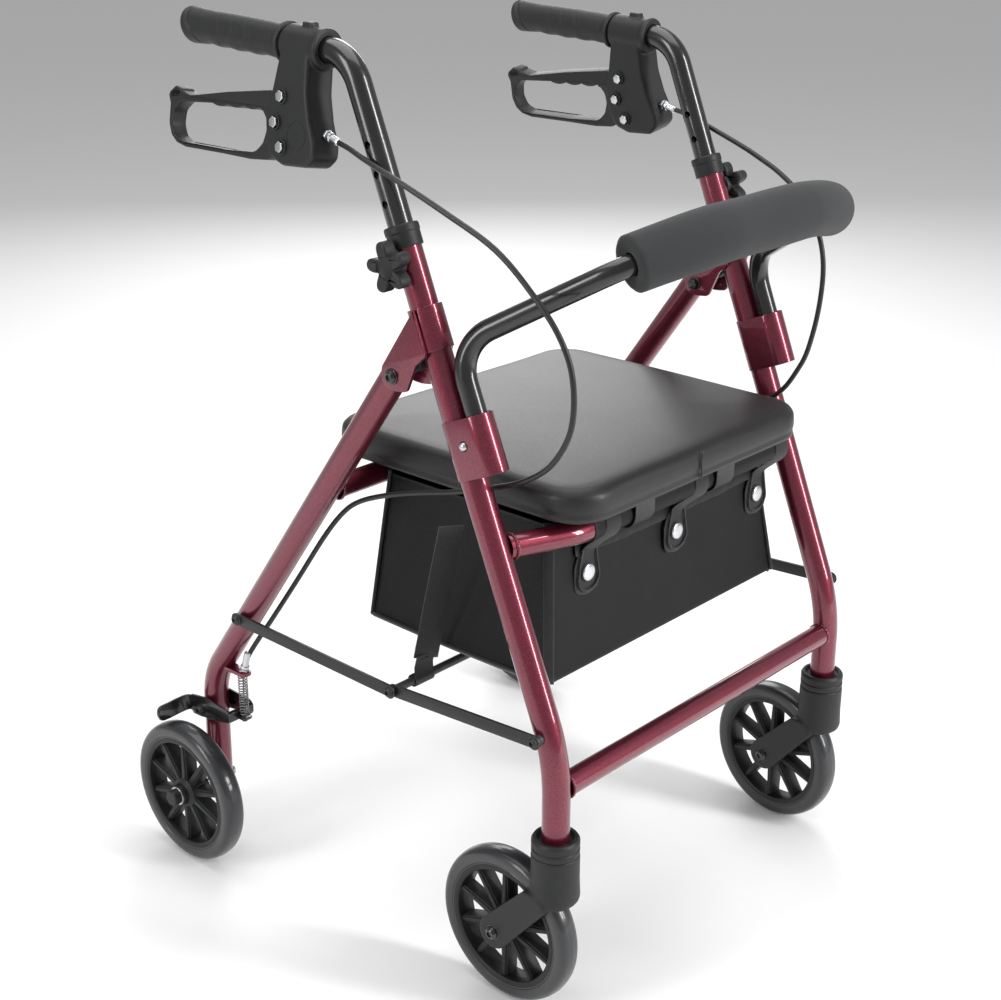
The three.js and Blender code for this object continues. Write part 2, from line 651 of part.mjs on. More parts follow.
function handleTube() {
  const gripAt = (y) => vec(-LEG_X, y, GRIP_Z + GRIP_SLOPE * (y - GRIP_Y));
  const route = bent([onLeg(95), gripAt(CORNER_Y), gripAt(GRIP_END_Y)], 40, 5);
  const holes = ADJUSTMENT_HOLES.map((notch) => {
    const { y, z } = onLeg(KNOB_DOWN - notch * NOTCH);
    return bar([-LEG_X - 20, y, z], [-LEG_X + 20, y, z], 3.2, { sides: 6 });
  });
  return carve([tube(route, HANDLE_R, { bore: HANDLE_R - TUBE_WALL })], holes);
}

function grip() {
  const bore = HANDLE_R + GAP;
  const end = 130;
  const profile = [[bore, 0.5], [17.6, 0.5], [18, 3], [16.6, 5.5], [15.2, 8], [14.3, 30],
    [14.6, 55], [14.3, 80], [14.8, 105], [16.2, end - 6], [16, end], [11, end + 1.5],
    [0, end + 1.5], [0, GRIP_END_Y - GRIP_Y + 1], [bore, GRIP_END_Y - GRIP_Y + 1], [bore, 0.5]];
  return alongGrip(turnedZ(profile));
}

/** Leans a brake piece outward about the grip's axis. Its outline is [y, z below the grip]. */
function leaned(geometry) {
  return geometry.rotateY(BRAKE_ROLL).translate(-LEG_X, 0, 845);
}

const BRAKE = {
  half: 15.5, slot: 8.4, lever: 8, pivot: [124, -67], bolts: [[118.4, -45], [124, -67], [114, -87]],
};

function brakeHousing() {
  const clamp = bar([-LEG_X, 83.5, GRIP_Z + GRIP_SLOPE * (83.5 - GRIP_Y)],
    [-LEG_X, GRIP_Y - 1, GRIP_Z - GRIP_SLOPE], 16.4);
  const bore = bar([-LEG_X, 60, GRIP_Z + GRIP_SLOPE * (60 - GRIP_Y)],
    [-LEG_X, 150, GRIP_Z + GRIP_SLOPE * (150 - GRIP_Y)], HANDLE_R + GAP);
  const body = plate(outline([[92, 0], [90, -40], [83, -64], [75, -82], [74, -92], [84, -100.5],
    [113, -102], [128, -97], [135, -85], [138, -70], [138, -58], [133, -40], [125, 0]]),
  -BRAKE.half, BRAKE.half);
  const slot = plate(outline([[106, -60], [109, -48], [118, -38], [150, -32], [150, -110],
    [124, -106], [112, -94], [106, -76]]), -BRAKE.slot, BRAKE.slot);
  const bolts = BRAKE.bolts.flatMap((at) => [-1, 1].map((side) => {
    const inner = side * (BRAKE.half - 1);
    return bar([Math.min(inner, side * 20), ...at], [Math.max(inner, side * 20), ...at], 5.4, { sides: 6 });
  }));
  const pin = bar([-BRAKE.slot - 1, ...BRAKE.pivot], [BRAKE.slot + 1, ...BRAKE.pivot], 3, { sides: 10 });
  const cheeks = carve([leaned(body), ...bolts.map(leaned)], [leaned(slot)]);
  return carve([clamp, cheeks, leaned(pin)], [bore]);
}

function brakeLever() {
  const loop = outline([[114, -74], [113, -64], [117, -54], [128, -45], [142, -41.5], [199, -48.5],
    [249.5, -56.5], [262, -53.5], [272, -52], [280, -58], [277, -66], [276.5, -84], [273, -93.5],
    [265, -99.5], [255, -102.5], [200, -102], [162, -101.5], [138, -100], [126, -90]]);
  loop.holes.push(outline([[245, -61.5], [262, -63], [270.5, -70], [272, -84], [267, -94],
    [256, -98.5], [200, -98.5], [157, -96], [147, -87], [144, -76], [145.5, -64], [151, -57.5],
    [159, -56.2], [190, -58.5]]));
  const pin = bar([-20, ...BRAKE.pivot], [20, ...BRAKE.pivot], 3.3, { sides: 10 });
  return carve([leaned(plate(loop, -BRAKE.lever, BRAKE.lever))], [leaned(pin)]);
}

function starKnob() {
  const lobes = 5;
  const star = new THREE.Shape();
  for (let k = 0; k < lobes * 6; k += 1) {
    const angle = (2 * Math.PI * k) / (lobes * 6);
    const r = 16.6 + 5.6 * Math.cos(lobes * angle);
    if (k) star.lineTo(r * Math.cos(angle), r * Math.sin(angle));
    else star.moveTo(r, 0);
  }
  const { y, z } = onLeg(KNOB_DOWN);
  const face = -LEG_X - LEG_R - GAP;
  const neck = bar([face - 6, 0, 0], [face, 0, 0], 9, { sides: 16 });
  return carve([plate(star, face - 19, face - 5), neck]).translate(0, y, z);
}

// ---------------------------------------------------------------- brake cables

const CABLE_R = 2.5;
const ADJUSTER_R = 4.6;

// From the brake housing, round the front of the leg, to the lug on the rear leg.
const CABLE_TAIL = [
  [-196, 10, 459], [-196, 50, 446], [-196, 84, 431], [-197, 106, 414], [-200, 130, 384],
  [-202, 168, 330], [-206, 204, 278], [-216, 222, 246], [-223, 227, 232],
];
const RIGHT_CABLE = [
  [-228.5, 64, 770.5], [-230, 48, 767], [-231, 28, 760], [-230, -8, 747.5], [-224, -56, 727],
  [-219, -108, 703], [-217, -148, 671], [-216, -174, 642], [-215.5, -187, 611], [-214, -185, 569],
  [-211, -163, 533], [-206, -130, 509], [-198, -88, 490], [-196, -40, 473], ...CABLE_TAIL,
];
// The lower handle leaves more slack, so this cable hangs in a shorter bow; as if on the right.
const LEFT_CABLE = [
  [-228.5, 54.5, 747], [-230, 38, 743.5], [-231, 18, 736.5], [-230, -30, 720], [-226.5, -57, 710.5],
  [-223, -85, 698.5], [-219, -114, 679.5], [-217, -133, 654], [-216, -143, 624], [-215, -144, 589],
  [-211, -140, 549], [-206, -129, 517], [-200, -98, 490], [-196, -46, 471], ...CABLE_TAIL,
];

function brakeCable(drop) {
  const route = drop > 0 ? LEFT_CABLE : RIGHT_CABLE;
  const first = vec(...route[0]);
  const curve = new THREE.CatmullRomCurve3(route.map((at) => vec(...at)), false, 'centripetal');
  const cover = tube(curve.getSpacedPoints(44), CABLE_R, { sides: 6 });
  const lean = leaned(new THREE.BufferGeometry().setFromPoints([vec(0, 72.5, -72.5)]));
  const seat = vec(lean.attributes.position.getX(0), lean.attributes.position.getY(0),
    lean.attributes.position.getZ(0)).addScaledVector(legDown, drop);
  const upper = tube([seat, first], ADJUSTER_R, { sides: 8 });
  const [x, y, z] = route[route.length - 1];
  const lower = tube([vec(x, y, z + 2), vec(SPRING.x, 232, LUG.top + 2 * GAP + 1)], ADJUSTER_R, { sides: 8 });
  return carve([cover, upper, lower]);
}

// ---------------------------------------------------------------- assembly

const walker = new THREE.Group();
const frame = new THREE.Group();
frame.position.y = -CENTRE_Y;
walker.add(frame);

/** Adds one named sub-part to a group. */
function add(group, name, geometry, look) {
  const mesh = new THREE.Mesh(facingOut(geometry), new THREE.MeshStandardMaterial(look));
  mesh.name = name;
  group.add(mesh);
}

const SINGLE = [
  ['front_cross_tube', frontCrossTube, RED],
  ['seat_rail', seatRail, RED],
  ['rear_cross_tube', rearCrossTube, RED],
  ['backrest_bar', backrestBar, GLOSS_BLACK],
  ['backrest_pad', backrestPad, FOAM],
  ['seat_board', seatBoard, MOULDED],
  ['seat_cushion', seatCushion, VINYL],
  ['bag', bag, CLOTH],
  ['pull_strap', pullStrap, CLOTH],
  ['spreader_rod', spreaderRod, GLOSS_BLACK],
];
for (const [name, build, look] of SINGLE) add(frame, name, build(), look);

const FIXED = [
  ['front_leg', frontLeg, RED],
  ['leg_collar', legCollar, MOULDED],
  ['hinge_bracket', hingeBracket, RED],
  ['hinge_bolt', hingeBolt, GLOSS_BLACK],
  ['backrest_bracket', backrestBracket, RED],
  ['snap_button', snapButton, STEEL],
  ['rear_leg', () => carve([rearLeg(), cableLug()]), RED],
  ['rear_axle', rearAxle, STEEL],
  ['front_link', frontLink, GLOSS_BLACK],
  ['rear_link', rearLink, GLOSS_BLACK],
  ['brake_arm', brakeArm, GLOSS_BLACK],
  ['brake_spring', brakeSpring, STEEL],
  ['star_knob', starKnob, MOULDED],
];
const HANDLE = [
  ['handle_tube', handleTube, GLOSS_BLACK],
  ['grip', grip, MOULDED],
  ['brake_housing', brakeHousing, MOULDED],
  ['brake_lever', brakeLever, MOULDED],
];
const WHEEL = [
  ['tyre', tyre, TYRE],
  ['wheel', wheelCore, MOULDED],
];
const CASTER = [
  ['caster_fork', casterFork, MOULDED],
  ['caster_axle', casterAxle, GLOSS_BLACK],
];

for (const side of ['right', 'left']) {
  const sign = side === 'right' ? -1 : 1;
  const handed = (geometry) => (sign < 0 ? geometry : mirrored(geometry));
  const drop = side === 'right' ? 0 : NOTCH;

  for (const [name, build, look] of FIXED) add(frame, `${side}_${name}`, handed(build()), look);

  const handle = new THREE.Group();
  handle.position.copy(legDown).multiplyScalar(drop);
  frame.add(handle);
  for (const [name, build, look] of HANDLE) add(handle, `${side}_${name}`, handed(build()), look);
  add(frame, `${side}_brake_cable`, handed(brakeCable(drop)), GLOSS_BLACK);

  const rearWheel = new THREE.Group();
  rearWheel.position.set(sign * REAR_WHEEL_X, REAR_AXLE_Y, WHEEL_R);
  frame.add(rearWheel);
  for (const [name, build, look] of WHEEL) add(rearWheel, `${side}_rear_${name}`, build(), look);

  const stem = new THREE.Group();
  stem.position.set(sign * LEG_X, STEM_Y, 0);
  frame.add(stem);
  add(stem, `${side}_caster_cap`, casterCap(), MOULDED);

  const caster = new THREE.Group();
  caster.rotation.z = side === 'left' ? LEFT_CASTER_YAW : 0;
  stem.add(caster);
  for (const [name, build, look] of CASTER) add(caster, `${side}_${name}`, build(), look);

  const casterWheel = new THREE.Group();
  casterWheel.position.set(0, CASTER_TRAIL, WHEEL_R);
  caster.add(casterWheel);
  for (const [name, build, look] of WHEEL) add(casterWheel, `${side}_front_${name}`, build(), look);
}

export default walker;
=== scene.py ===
"""A folding four-wheeled walker with a padded seat, a soft bag and loop brakes.

Sizes are millimetres on the walker's layout axes: x across, y along the walker from the
leg collars towards the person who pushes it, and z up from the floor.
"""

import logging
import math
from collections.abc import Callable, Iterable, Sequence
from dataclasses import dataclass, field
from enum import Enum

import bmesh
import bpy
from mathutils import Matrix, Vector
from mathutils.geometry import tessellate_polygon


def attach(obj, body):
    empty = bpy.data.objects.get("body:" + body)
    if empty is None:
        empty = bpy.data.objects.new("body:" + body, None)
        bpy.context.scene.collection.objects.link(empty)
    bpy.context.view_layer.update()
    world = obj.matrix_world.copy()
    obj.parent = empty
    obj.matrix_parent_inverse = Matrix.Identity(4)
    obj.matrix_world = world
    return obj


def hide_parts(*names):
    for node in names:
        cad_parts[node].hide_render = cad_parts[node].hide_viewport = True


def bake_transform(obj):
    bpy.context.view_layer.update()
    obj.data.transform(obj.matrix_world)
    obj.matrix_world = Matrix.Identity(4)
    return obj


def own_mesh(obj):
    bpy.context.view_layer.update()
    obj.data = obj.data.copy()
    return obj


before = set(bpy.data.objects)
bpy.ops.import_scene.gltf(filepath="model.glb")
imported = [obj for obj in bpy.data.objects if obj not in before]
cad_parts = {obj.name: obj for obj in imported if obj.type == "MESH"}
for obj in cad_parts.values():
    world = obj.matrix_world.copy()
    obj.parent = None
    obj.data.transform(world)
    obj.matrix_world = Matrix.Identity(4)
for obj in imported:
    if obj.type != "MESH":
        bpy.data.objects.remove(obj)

log = logging.getLogger("walker")
Colour = tuple[float, float, float]
Pair = tuple[float, float]
Triple = tuple[float, float, float]

CENTRE_Y = 60.1
SEAM_X = -4.0
NOTCH = 25.4
LEG_X = 216.0
LEG_R = 12.7
BACK_R = 9.5
HANDLE_R = 11.1
WALL = 1.5
COLLAR_TOP = (1.7, 706.2)
LEAN = 0.4065
STEM_Y = -177.2
PIVOT = (-2.9, 579.7)
HINGE_X = 217.7
REAR_LINE_Y = 6.0
REAR_LEAN = 0.7156
REAR_FOOT_Y = 281.0
WHEEL_R = 76.2
REAR_WHEEL_X = 265.2
REAR_AXLE_Y = 280.0
CASTER_TRAIL = 53.5
LEFT_CASTER_YAW = -0.099
GRIP_Y = 130.0
GRIP_Z = 844.5
GRIP_SLOPE = 0.045
BRAKE_ROLL = math.radians(9.5)
TAU = 2 * math.pi

LEG_DOWN = Vector((0, -LEAN, -1)).normalized()
LEG_FORWARD = Vector((0, -1, LEAN)).normalized()
GRIP_ALONG = Vector((0, 1, GRIP_SLOPE)).normalized()


class Side(Enum):
    """The two hands of the walker, with the sign of x on each."""

    RIGHT = -1
    LEFT = 1

    @property
    def word(self) -> str:
        """The side's name, as the frame spells it."""
        return self.name.lower()


def basis(x: Sequence[float], y: Sequence[float], z: Sequence[float], at: Sequence[float]) -> Matrix:
    """A placing matrix.

    Args:
        x: Where the local X axis points.
        y: Where the local Y axis points.
        z: Where the local Z axis points.
        at: Where the local origin goes.

    Returns:
        The 4x4 matrix that places local points in the layout.
    """
    turn = Matrix((x, y, z)).transposed().to_4x4()
    return Matrix.Translation(Vector(at)) @ turn


def across(at: Sequence[float]) -> Matrix:
    """Places a plate or turned form so that its local Z runs along the layout's X."""
    return basis((0, 1, 0), (0, 0, 1), (1, 0, 0), at)


def on_leg(down: float, forward: float = 0.0, x: float = -LEG_X) -> Vector:
    """The point this far down the front leg's line, and this far in front of it."""
    return Vector((x, *COLLAR_TOP)) + LEG_DOWN * down + LEG_FORWARD * forward


def along_leg(forward: float = 0.0) -> Matrix:
    """Places a form drawn along +Z, with z = 0 at the collar's top, on the leg's line."""
    return basis((1, 0, 0), LEG_FORWARD, -LEG_DOWN, on_leg(0, forward))


def along_grip() -> Matrix:
    """Places a form drawn along +Z, with z = 0 at the flange, on the grip's axis."""
    down = Vector((0, GRIP_SLOPE, -1)).normalized()
    return basis((1, 0, 0), down, GRIP_ALONG, (-LEG_X, GRIP_Y, GRIP_Z))


def leaned() -> Matrix:
    """Leans a brake form outward about the grip's axis, from heights below that axis."""
    return Matrix.Translation((-LEG_X, 0, 845)) @ Matrix.Rotation(BRAKE_ROLL, 4, "Y")


def rear_x(z: float) -> float:
    """How far the rear leg's line is from the middle at this height."""
    knee = PIVOT[1] - (REAR_FOOT_Y - REAR_LINE_Y) / REAR_LEAN
    return HINGE_X + (223.0 - HINGE_X) * (PIVOT[1] - z) / (PIVOT[1] - knee)


def bent(points: Sequence[Vector], radii: float | Sequence[float], steps: int = 14) -> list[Vector]:
    """Rounds each inner corner of a line.

    Args:
        points: The corners of the line.
        radii: One bend radius, or one for each inner corner.
        steps: How many spans each bend has.

    Returns:
        The points of the rounded line.
    """
    route = [points[0].copy()]
    for i in range(1, len(points) - 1):
        back = (points[i - 1] - points[i]).normalized()
        onward = (points[i + 1] - points[i]).normalized()
        half = back.angle(onward) / 2
        radius = radii if isinstance(radii, (int, float)) else radii[i - 1]
        start = points[i] + back * (radius / math.tan(half))
        centre = points[i] + (back + onward).normalized() * (radius / math.sin(half))
        axis = back.cross(onward).normalized()
        for k in range(steps + 1):
            turn = Matrix.Rotation(-(math.pi - 2 * half) * k / steps, 3, axis)
            route.append(centre + turn @ (start - centre))
    route.append(points[-1].copy())
    return route


def rounded(corners: Sequence[Pair], radii: float | Sequence[float], steps: int = 5) -> list[Pair]:
    """Rounds the corners of a closed flat outline.

    Args:
        corners: The outline's corners.
        radii: One corner radius, or one for each corner.
        steps: How many spans each rounded corner has.

    Returns:
        The rounded outline.
    """
    loop: list[Pair] = []
    count = len(corners)
    for i in range(count):
        here = Vector(corners[i])
        back = Vector(corners[i - 1]) - here
        onward = Vector(corners[(i + 1) % count]) - here
        radius = radii if isinstance(radii, (int, float)) else radii[i]
        half = back.angle(onward) / 2
        reach = min(radius / math.tan(half), 0.49 * back.length, 0.49 * onward.length)
        if radius <= 0 or reach < 1e-3 or half > 1.55:
            loop.append((here.x, here.y))
            continue
        start = here + back.normalized() * reach
        end = here + onward.normalized() * reach
        for k in range(steps + 1):
            t = k / steps
            spot = start * (1 - t) ** 2 + here * (2 * t * (1 - t)) + end * t * t
            loop.append((spot.x, spot.y))
    return loop


def circle(radius: float, sides: int, centre: Pair = (0.0, 0.0), start: float = 0.0) -> list[Pair]:
    """The points of a flat circle."""
    turns = [start + TAU * k / sides for k in range(sides)]
    return [(centre[0] + radius * math.cos(a), centre[1] + radius * math.sin(a)) for a in turns]


def slot_outline(a: Pair, b: Pair, radius: float, steps: int = 12) -> list[Pair]:
    """A bar outline with round ends, between two centres."""
    heading = math.atan2(b[1] - a[1], b[0] - a[0])
    loop: list[Pair] = []
    for centre, start in ((b, heading - math.pi / 2), (a, heading + math.pi / 2)):
        for k in range(steps + 1):
            turn = start + math.pi * k / steps
            loop.append((centre[0] + radius * math.cos(turn), centre[1] + radius * math.sin(turn)))
    return loop


def smooth_line(points: Sequence[Vector], steps: int = 6) -> list[Vector]:
    """A smooth open line through the given points."""
    line: list[Vector] = []
    last = len(points) - 1
    for i in range(last):
        p0, p1, p2, p3 = (points[min(max(i + k, 0), last)] for k in (-1, 0, 1, 2))
        for k in range(steps):
            t = k / steps
            line.append(0.5 * (2 * p1 + (p2 - p0) * t + (2 * p0 - 5 * p1 + 4 * p2 - p3) * t * t
                               + (3 * p1 - p0 - 3 * p2 + p3) * t ** 3))
    line.append(points[last].copy())
    return line


def area_of(loop: Sequence[Pair]) -> float:
    """The signed area of a closed outline, positive when it runs anticlockwise."""
    return sum(a[0] * b[1] - b[0] * a[1] for a, b in zip(loop, [*loop[1:], loop[0]])) / 2


def inset(loop: Sequence[Pair], by: float) -> list[Pair]:
    """Moves each point of an outline to its left, into the solid."""
    moved: list[Pair] = []
    count = len(loop)
    for i in range(count):
        here = Vector(loop[i])
        first = (here - Vector(loop[i - 1])).normalized()
        second = (Vector(loop[(i + 1) % count]) - here).normalized()
        mean = (first + second).normalized()
        stretch = 1 / max(0.5, mean.dot(first))
        moved.append((here.x - mean.y * by * stretch, here.y + mean.x * by * stretch))
    return moved


def evenly(loop: Sequence[Pair], count: int) -> list[Pair]:
    """Spreads this many points evenly round a closed outline."""
    dense = [*loop, loop[0]]
    steps = [math.dist(a, b) for a, b in zip(dense, dense[1:])]
    total, spread, at, walked = sum(steps), [], 0, 0.0
    for k in range(count):
        goal = total * k / count
        while walked + steps[at] < goal:
            walked += steps[at]
            at += 1
        share = (goal - walked) / max(steps[at], 1e-9)
        a, b = dense[at], dense[at + 1]
        spread.append((a[0] + (b[0] - a[0]) * share, a[1] + (b[1] - a[1]) * share))
    return spread


class Form:
    """A closed shape under construction, in the layout's millimetres."""

    def __init__(self) -> None:
        self.spots: list[Vector] = []
        self.faces: list[tuple[int, ...]] = []

    def add(self, spots: Iterable[Sequence[float]], faces: Iterable[Sequence[int]]) -> "Form":
        """Adds loose points and the faces between them."""
        base = len(self.spots)
        self.spots += [Vector(s) for s in spots]
        self.faces += [tuple(i + base for i in f) for f in faces]
        return self

    def join(self, other: "Form") -> "Form":
        """Adds another form's shape to this one."""
        return self.add(other.spots, other.faces)

    def placed(self, place: Matrix) -> "Form":
        """Moves the whole form by a matrix."""
        self.spots = [place @ s for s in self.spots]
        return self

    def mirrored(self) -> "Form":
        """This form, seen in the walker's middle plane."""
        other = Form()
        other.spots = [Vector((-s.x, s.y, s.z)) for s in self.spots]
        other.faces = [tuple(reversed(f)) for f in self.faces]
        return other

    def skin(self, rings: Sequence[Sequence[Vector]], looped: bool = False) -> "Form":
        """Joins equal rings of points one after the other.

        Args:
            rings: The rings, all with the same count of points.
            looped: True joins the last ring to the first, and False closes both ends.

        Returns:
            This form.
        """
        sides = len(rings[0])
        spots = [s for ring in rings for s in ring]
        faces: list[tuple[int, ...]] = []
        spans = len(rings) if looped else len(rings) - 1
        for r in range(spans):
            a, b = r * sides, ((r + 1) % len(rings)) * sides
            for k in range(sides):
                n = (k + 1) % sides
                faces.append((a + k, a + n, b + n, b + k))
        if not looped:
            faces.append(tuple(reversed(range(sides))))
            faces.append(tuple(range((len(rings) - 1) * sides, len(rings) * sides)))
        return self.add(spots, faces)

    def sweep(self, path: Sequence[Vector], section: Callable[[float], Sequence[Pair]],
              up: Sequence[float] = (0, 0, 1), looped: bool = False) -> "Form":
        """Carries a flat section along a line, without twisting it.

        Args:
            path: The line's points.
            section: Gives the section's outline for the share of the line passed.
            up: Roughly where the section's second axis points at the start.
            looped: True joins the end of the line to its start.

        Returns:
            This form.
        """
        count = len(path)
        rings: list[list[Vector]] = []
        normal = Vector(up)
        for i, here in enumerate(path):
            before = path[i - 1] if i or looped else here
            after = path[(i + 1) % count] if i < count - 1 or looped else here
            ahead = (after - before).normalized()
            normal = (normal - ahead * normal.dot(ahead)).normalized()
            side = normal.cross(ahead)
            rings.append([here + side * u + normal * v for u, v in section(i / max(1, count - 1))])
        return self.skin(rings, looped)

    def tube(self, path: Sequence[Vector], radius: float, bore: float = 0.0, sides: int = 32,
             up: Sequence[float] = (0.01, 0.02, 1)) -> "Form":
        """A round tube or rod along a line."""
        if not bore:
            return self.sweep(path, lambda t: circle(radius, sides), up)
        both = Form().sweep(path, lambda t: circle(radius, sides), up)
        hollow = Form().sweep(path, lambda t: circle(bore, sides), up)
        rings = [both.spots[i:i + sides] for i in range(0, len(both.spots), sides)]
        rings += [hollow.spots[i:i + sides] for i in range(0, len(hollow.spots), sides)][::-1]
        return self.skin(rings, looped=True)

    def turned(self, profile: Sequence[Pair], place: Matrix, sides: int = 40,
               looped: bool = False) -> "Form":
        """A turned shape about a local Z axis, from its radius and height pairs."""
        rings = [[place @ Vector((r * math.cos(TAU * k / sides), r * math.sin(TAU * k / sides), h))
                  for k in range(sides)] for r, h in profile]
        return self.skin(rings, looped)

    def plate(self, outlines: Sequence[Sequence[Pair]], low: float, high: float, place: Matrix,
              edge: float = 0.5, steps: int = 3) -> "Form":
        """A flat plate with rounded rims.

        Args:
            outlines: The outer outline first, then those of its holes.
            low: The local height of one face.
            high: The local height of the other face.
            place: Where the plate goes.
            edge: The radius of its rims.
            steps: How many spans each rim has.

        Returns:
            This form.
        """
        loops = []
        for i, loop in enumerate(outlines):
            anticlockwise = area_of(loop) > 0
            loops.append(list(loop) if anticlockwise == (i == 0) else list(loop)[::-1])
        turns = [math.pi / 2 * k / steps for k in range(steps + 1)] if edge else [0.0]
        levels = [(low + edge * (1 - math.sin(a)), edge * (1 - math.cos(a))) for a in reversed(turns)]
        levels += [(high - edge * (1 - math.sin(a)), edge * (1 - math.cos(a))) for a in turns]
        total = sum(len(loop) for loop in loops)
        spots: list[Vector] = []
        faces: list[tuple[int, ...]] = []
        for height, by in levels:
            for loop in loops:
                spots += [place @ Vector((u, v, height)) for u, v in (inset(loop, by) if by else loop)]
        for step in range(len(levels) - 1):
            start = 0
            for loop in loops:
                for k in range(len(loop)):
                    n = (k + 1) % len(loop)
                    a, b = step * total + start, (step + 1) * total + start
                    faces.append((a + k, a + n, b + n, b + k))
                start += len(loop)
        flat = [[Vector((u, v, 0)) for u, v in loop] for loop in loops]
        top = (len(levels) - 1) * total
        for tri in tessellate_polygon(flat):
            faces.append(tuple(tri))
            faces.append(tuple(i + top for i in reversed(tri)))
        return self.add(spots, faces)

    def bead(self, centre: Sequence[float], axis: Sequence[float], radius: float, fat: float,
             ripples: int = 26) -> "Form":
        """A rippled weld bead round a tube.

        Args:
            centre: The middle of the bead's ring.
            axis: The tube's direction there.
            radius: The tube's radius.
            fat: The bead's own radius.
            ripples: How many ripples it has.

        Returns:
            This form.
        """
        turn = Vector(axis).to_track_quat("Z", "Y").to_matrix().to_4x4()
        place = Matrix.Translation(Vector(centre)) @ turn
        sides, rings = ripples * 4, []
        for k in range(sides):
            a = TAU * k / sides
            own = fat * (1 + 0.16 * math.sin(a * ripples) + 0.12 * math.sin(3 * a + 1))
            out = Vector((math.cos(a), math.sin(a), 0))
            rings.append([place @ (out * (radius + own * math.cos(b)) + Vector((0, 0, own * math.sin(b))))
                          for b in (TAU * j / 10 for j in range(10))])
        return self.skin(rings, looped=True)


# ---------------------------------------------------------------- shader effects


class Wiring:
    """Places nodes in a shader tree and joins them."""

    def __init__(self, tree: bpy.types.NodeTree) -> None:
        self.tree = tree

    def node(self, kind: str, **settings: object) -> bpy.types.Node:
        """Adds a node, with its own properties set."""
        made = self.tree.nodes.new(kind)
        for name, value in settings.items():
            setattr(made, name, value)
        return made

    def link(self, source: bpy.types.NodeSocket, target: bpy.types.NodeSocket) -> None:
        """Joins two sockets."""
        self.tree.links.new(source, target)

    def maths(self, work: str, first: object, second: object = 0.5,
              clamp: bool = False) -> bpy.types.NodeSocket:
        """Adds a math node on two sockets or numbers, and gives its result."""
        made = self.node("ShaderNodeMath", operation=work, use_clamp=clamp)
        for socket, value in zip(made.inputs, (first, second)):
            if isinstance(value, (int, float)):
                socket.default_value = value
            else:
                self.link(value, socket)
        return made.outputs[0]

    def blend(self, share: object, first: object, second: object, mode: str = "MIX") -> bpy.types.NodeSocket:
        """Mixes two colours, and gives the result."""
        made = self.node("ShaderNodeMix", data_type="RGBA", blend_type=mode)
        for socket, value in ((made.inputs[0], share), (made.inputs[6], first), (made.inputs[7], second)):
            if isinstance(value, bpy.types.NodeSocket):
                self.link(value, socket)
            elif isinstance(value, (int, float)):
                socket.default_value = value
            else:
                socket.default_value = (*value, 1)
        return made.outputs[2]


@dataclass
class Effect:
    """A shared shader node group with named inputs and outputs."""

    name: str
    inputs: dict[str, str]
    outputs: dict[str, str]
    tree: bpy.types.NodeTree | None = None

    def begin(self) -> tuple[Wiring, bpy.types.Node, bpy.types.Node]:
        """Makes the empty group, and gives its wiring and its two end nodes."""
        kinds = {"number": "NodeSocketFloat", "colour": "NodeSocketColor"}
        self.tree = bpy.data.node_groups.new(self.name, "ShaderNodeTree")
        for name, kind in self.inputs.items():
            self.tree.interface.new_socket(name, in_out="INPUT", socket_type=kinds[kind])
        for name, kind in self.outputs.items():
            self.tree.interface.new_socket(name, in_out="OUTPUT", socket_type=kinds[kind])
        wiring = Wiring(self.tree)
        return wiring, wiring.node("NodeGroupInput"), wiring.node("NodeGroupOutput")

    def use(self, wiring: Wiring, **values: object) -> bpy.types.Node:
        """Places the group in a material.

        Args:
            wiring: The material's wiring.
            **values: A number, a colour or a socket for each input, by its name.

        Returns:
            The group's node.
        """
        made = wiring.node("ShaderNodeGroup", node_tree=self.tree)
        for name, value in values.items():
            if isinstance(value, bpy.types.NodeSocket):
                wiring.link(value, made.inputs[name])
            else:
                made.inputs[name].default_value = value if isinstance(value, (int, float)) else (*value, 1)
        return made


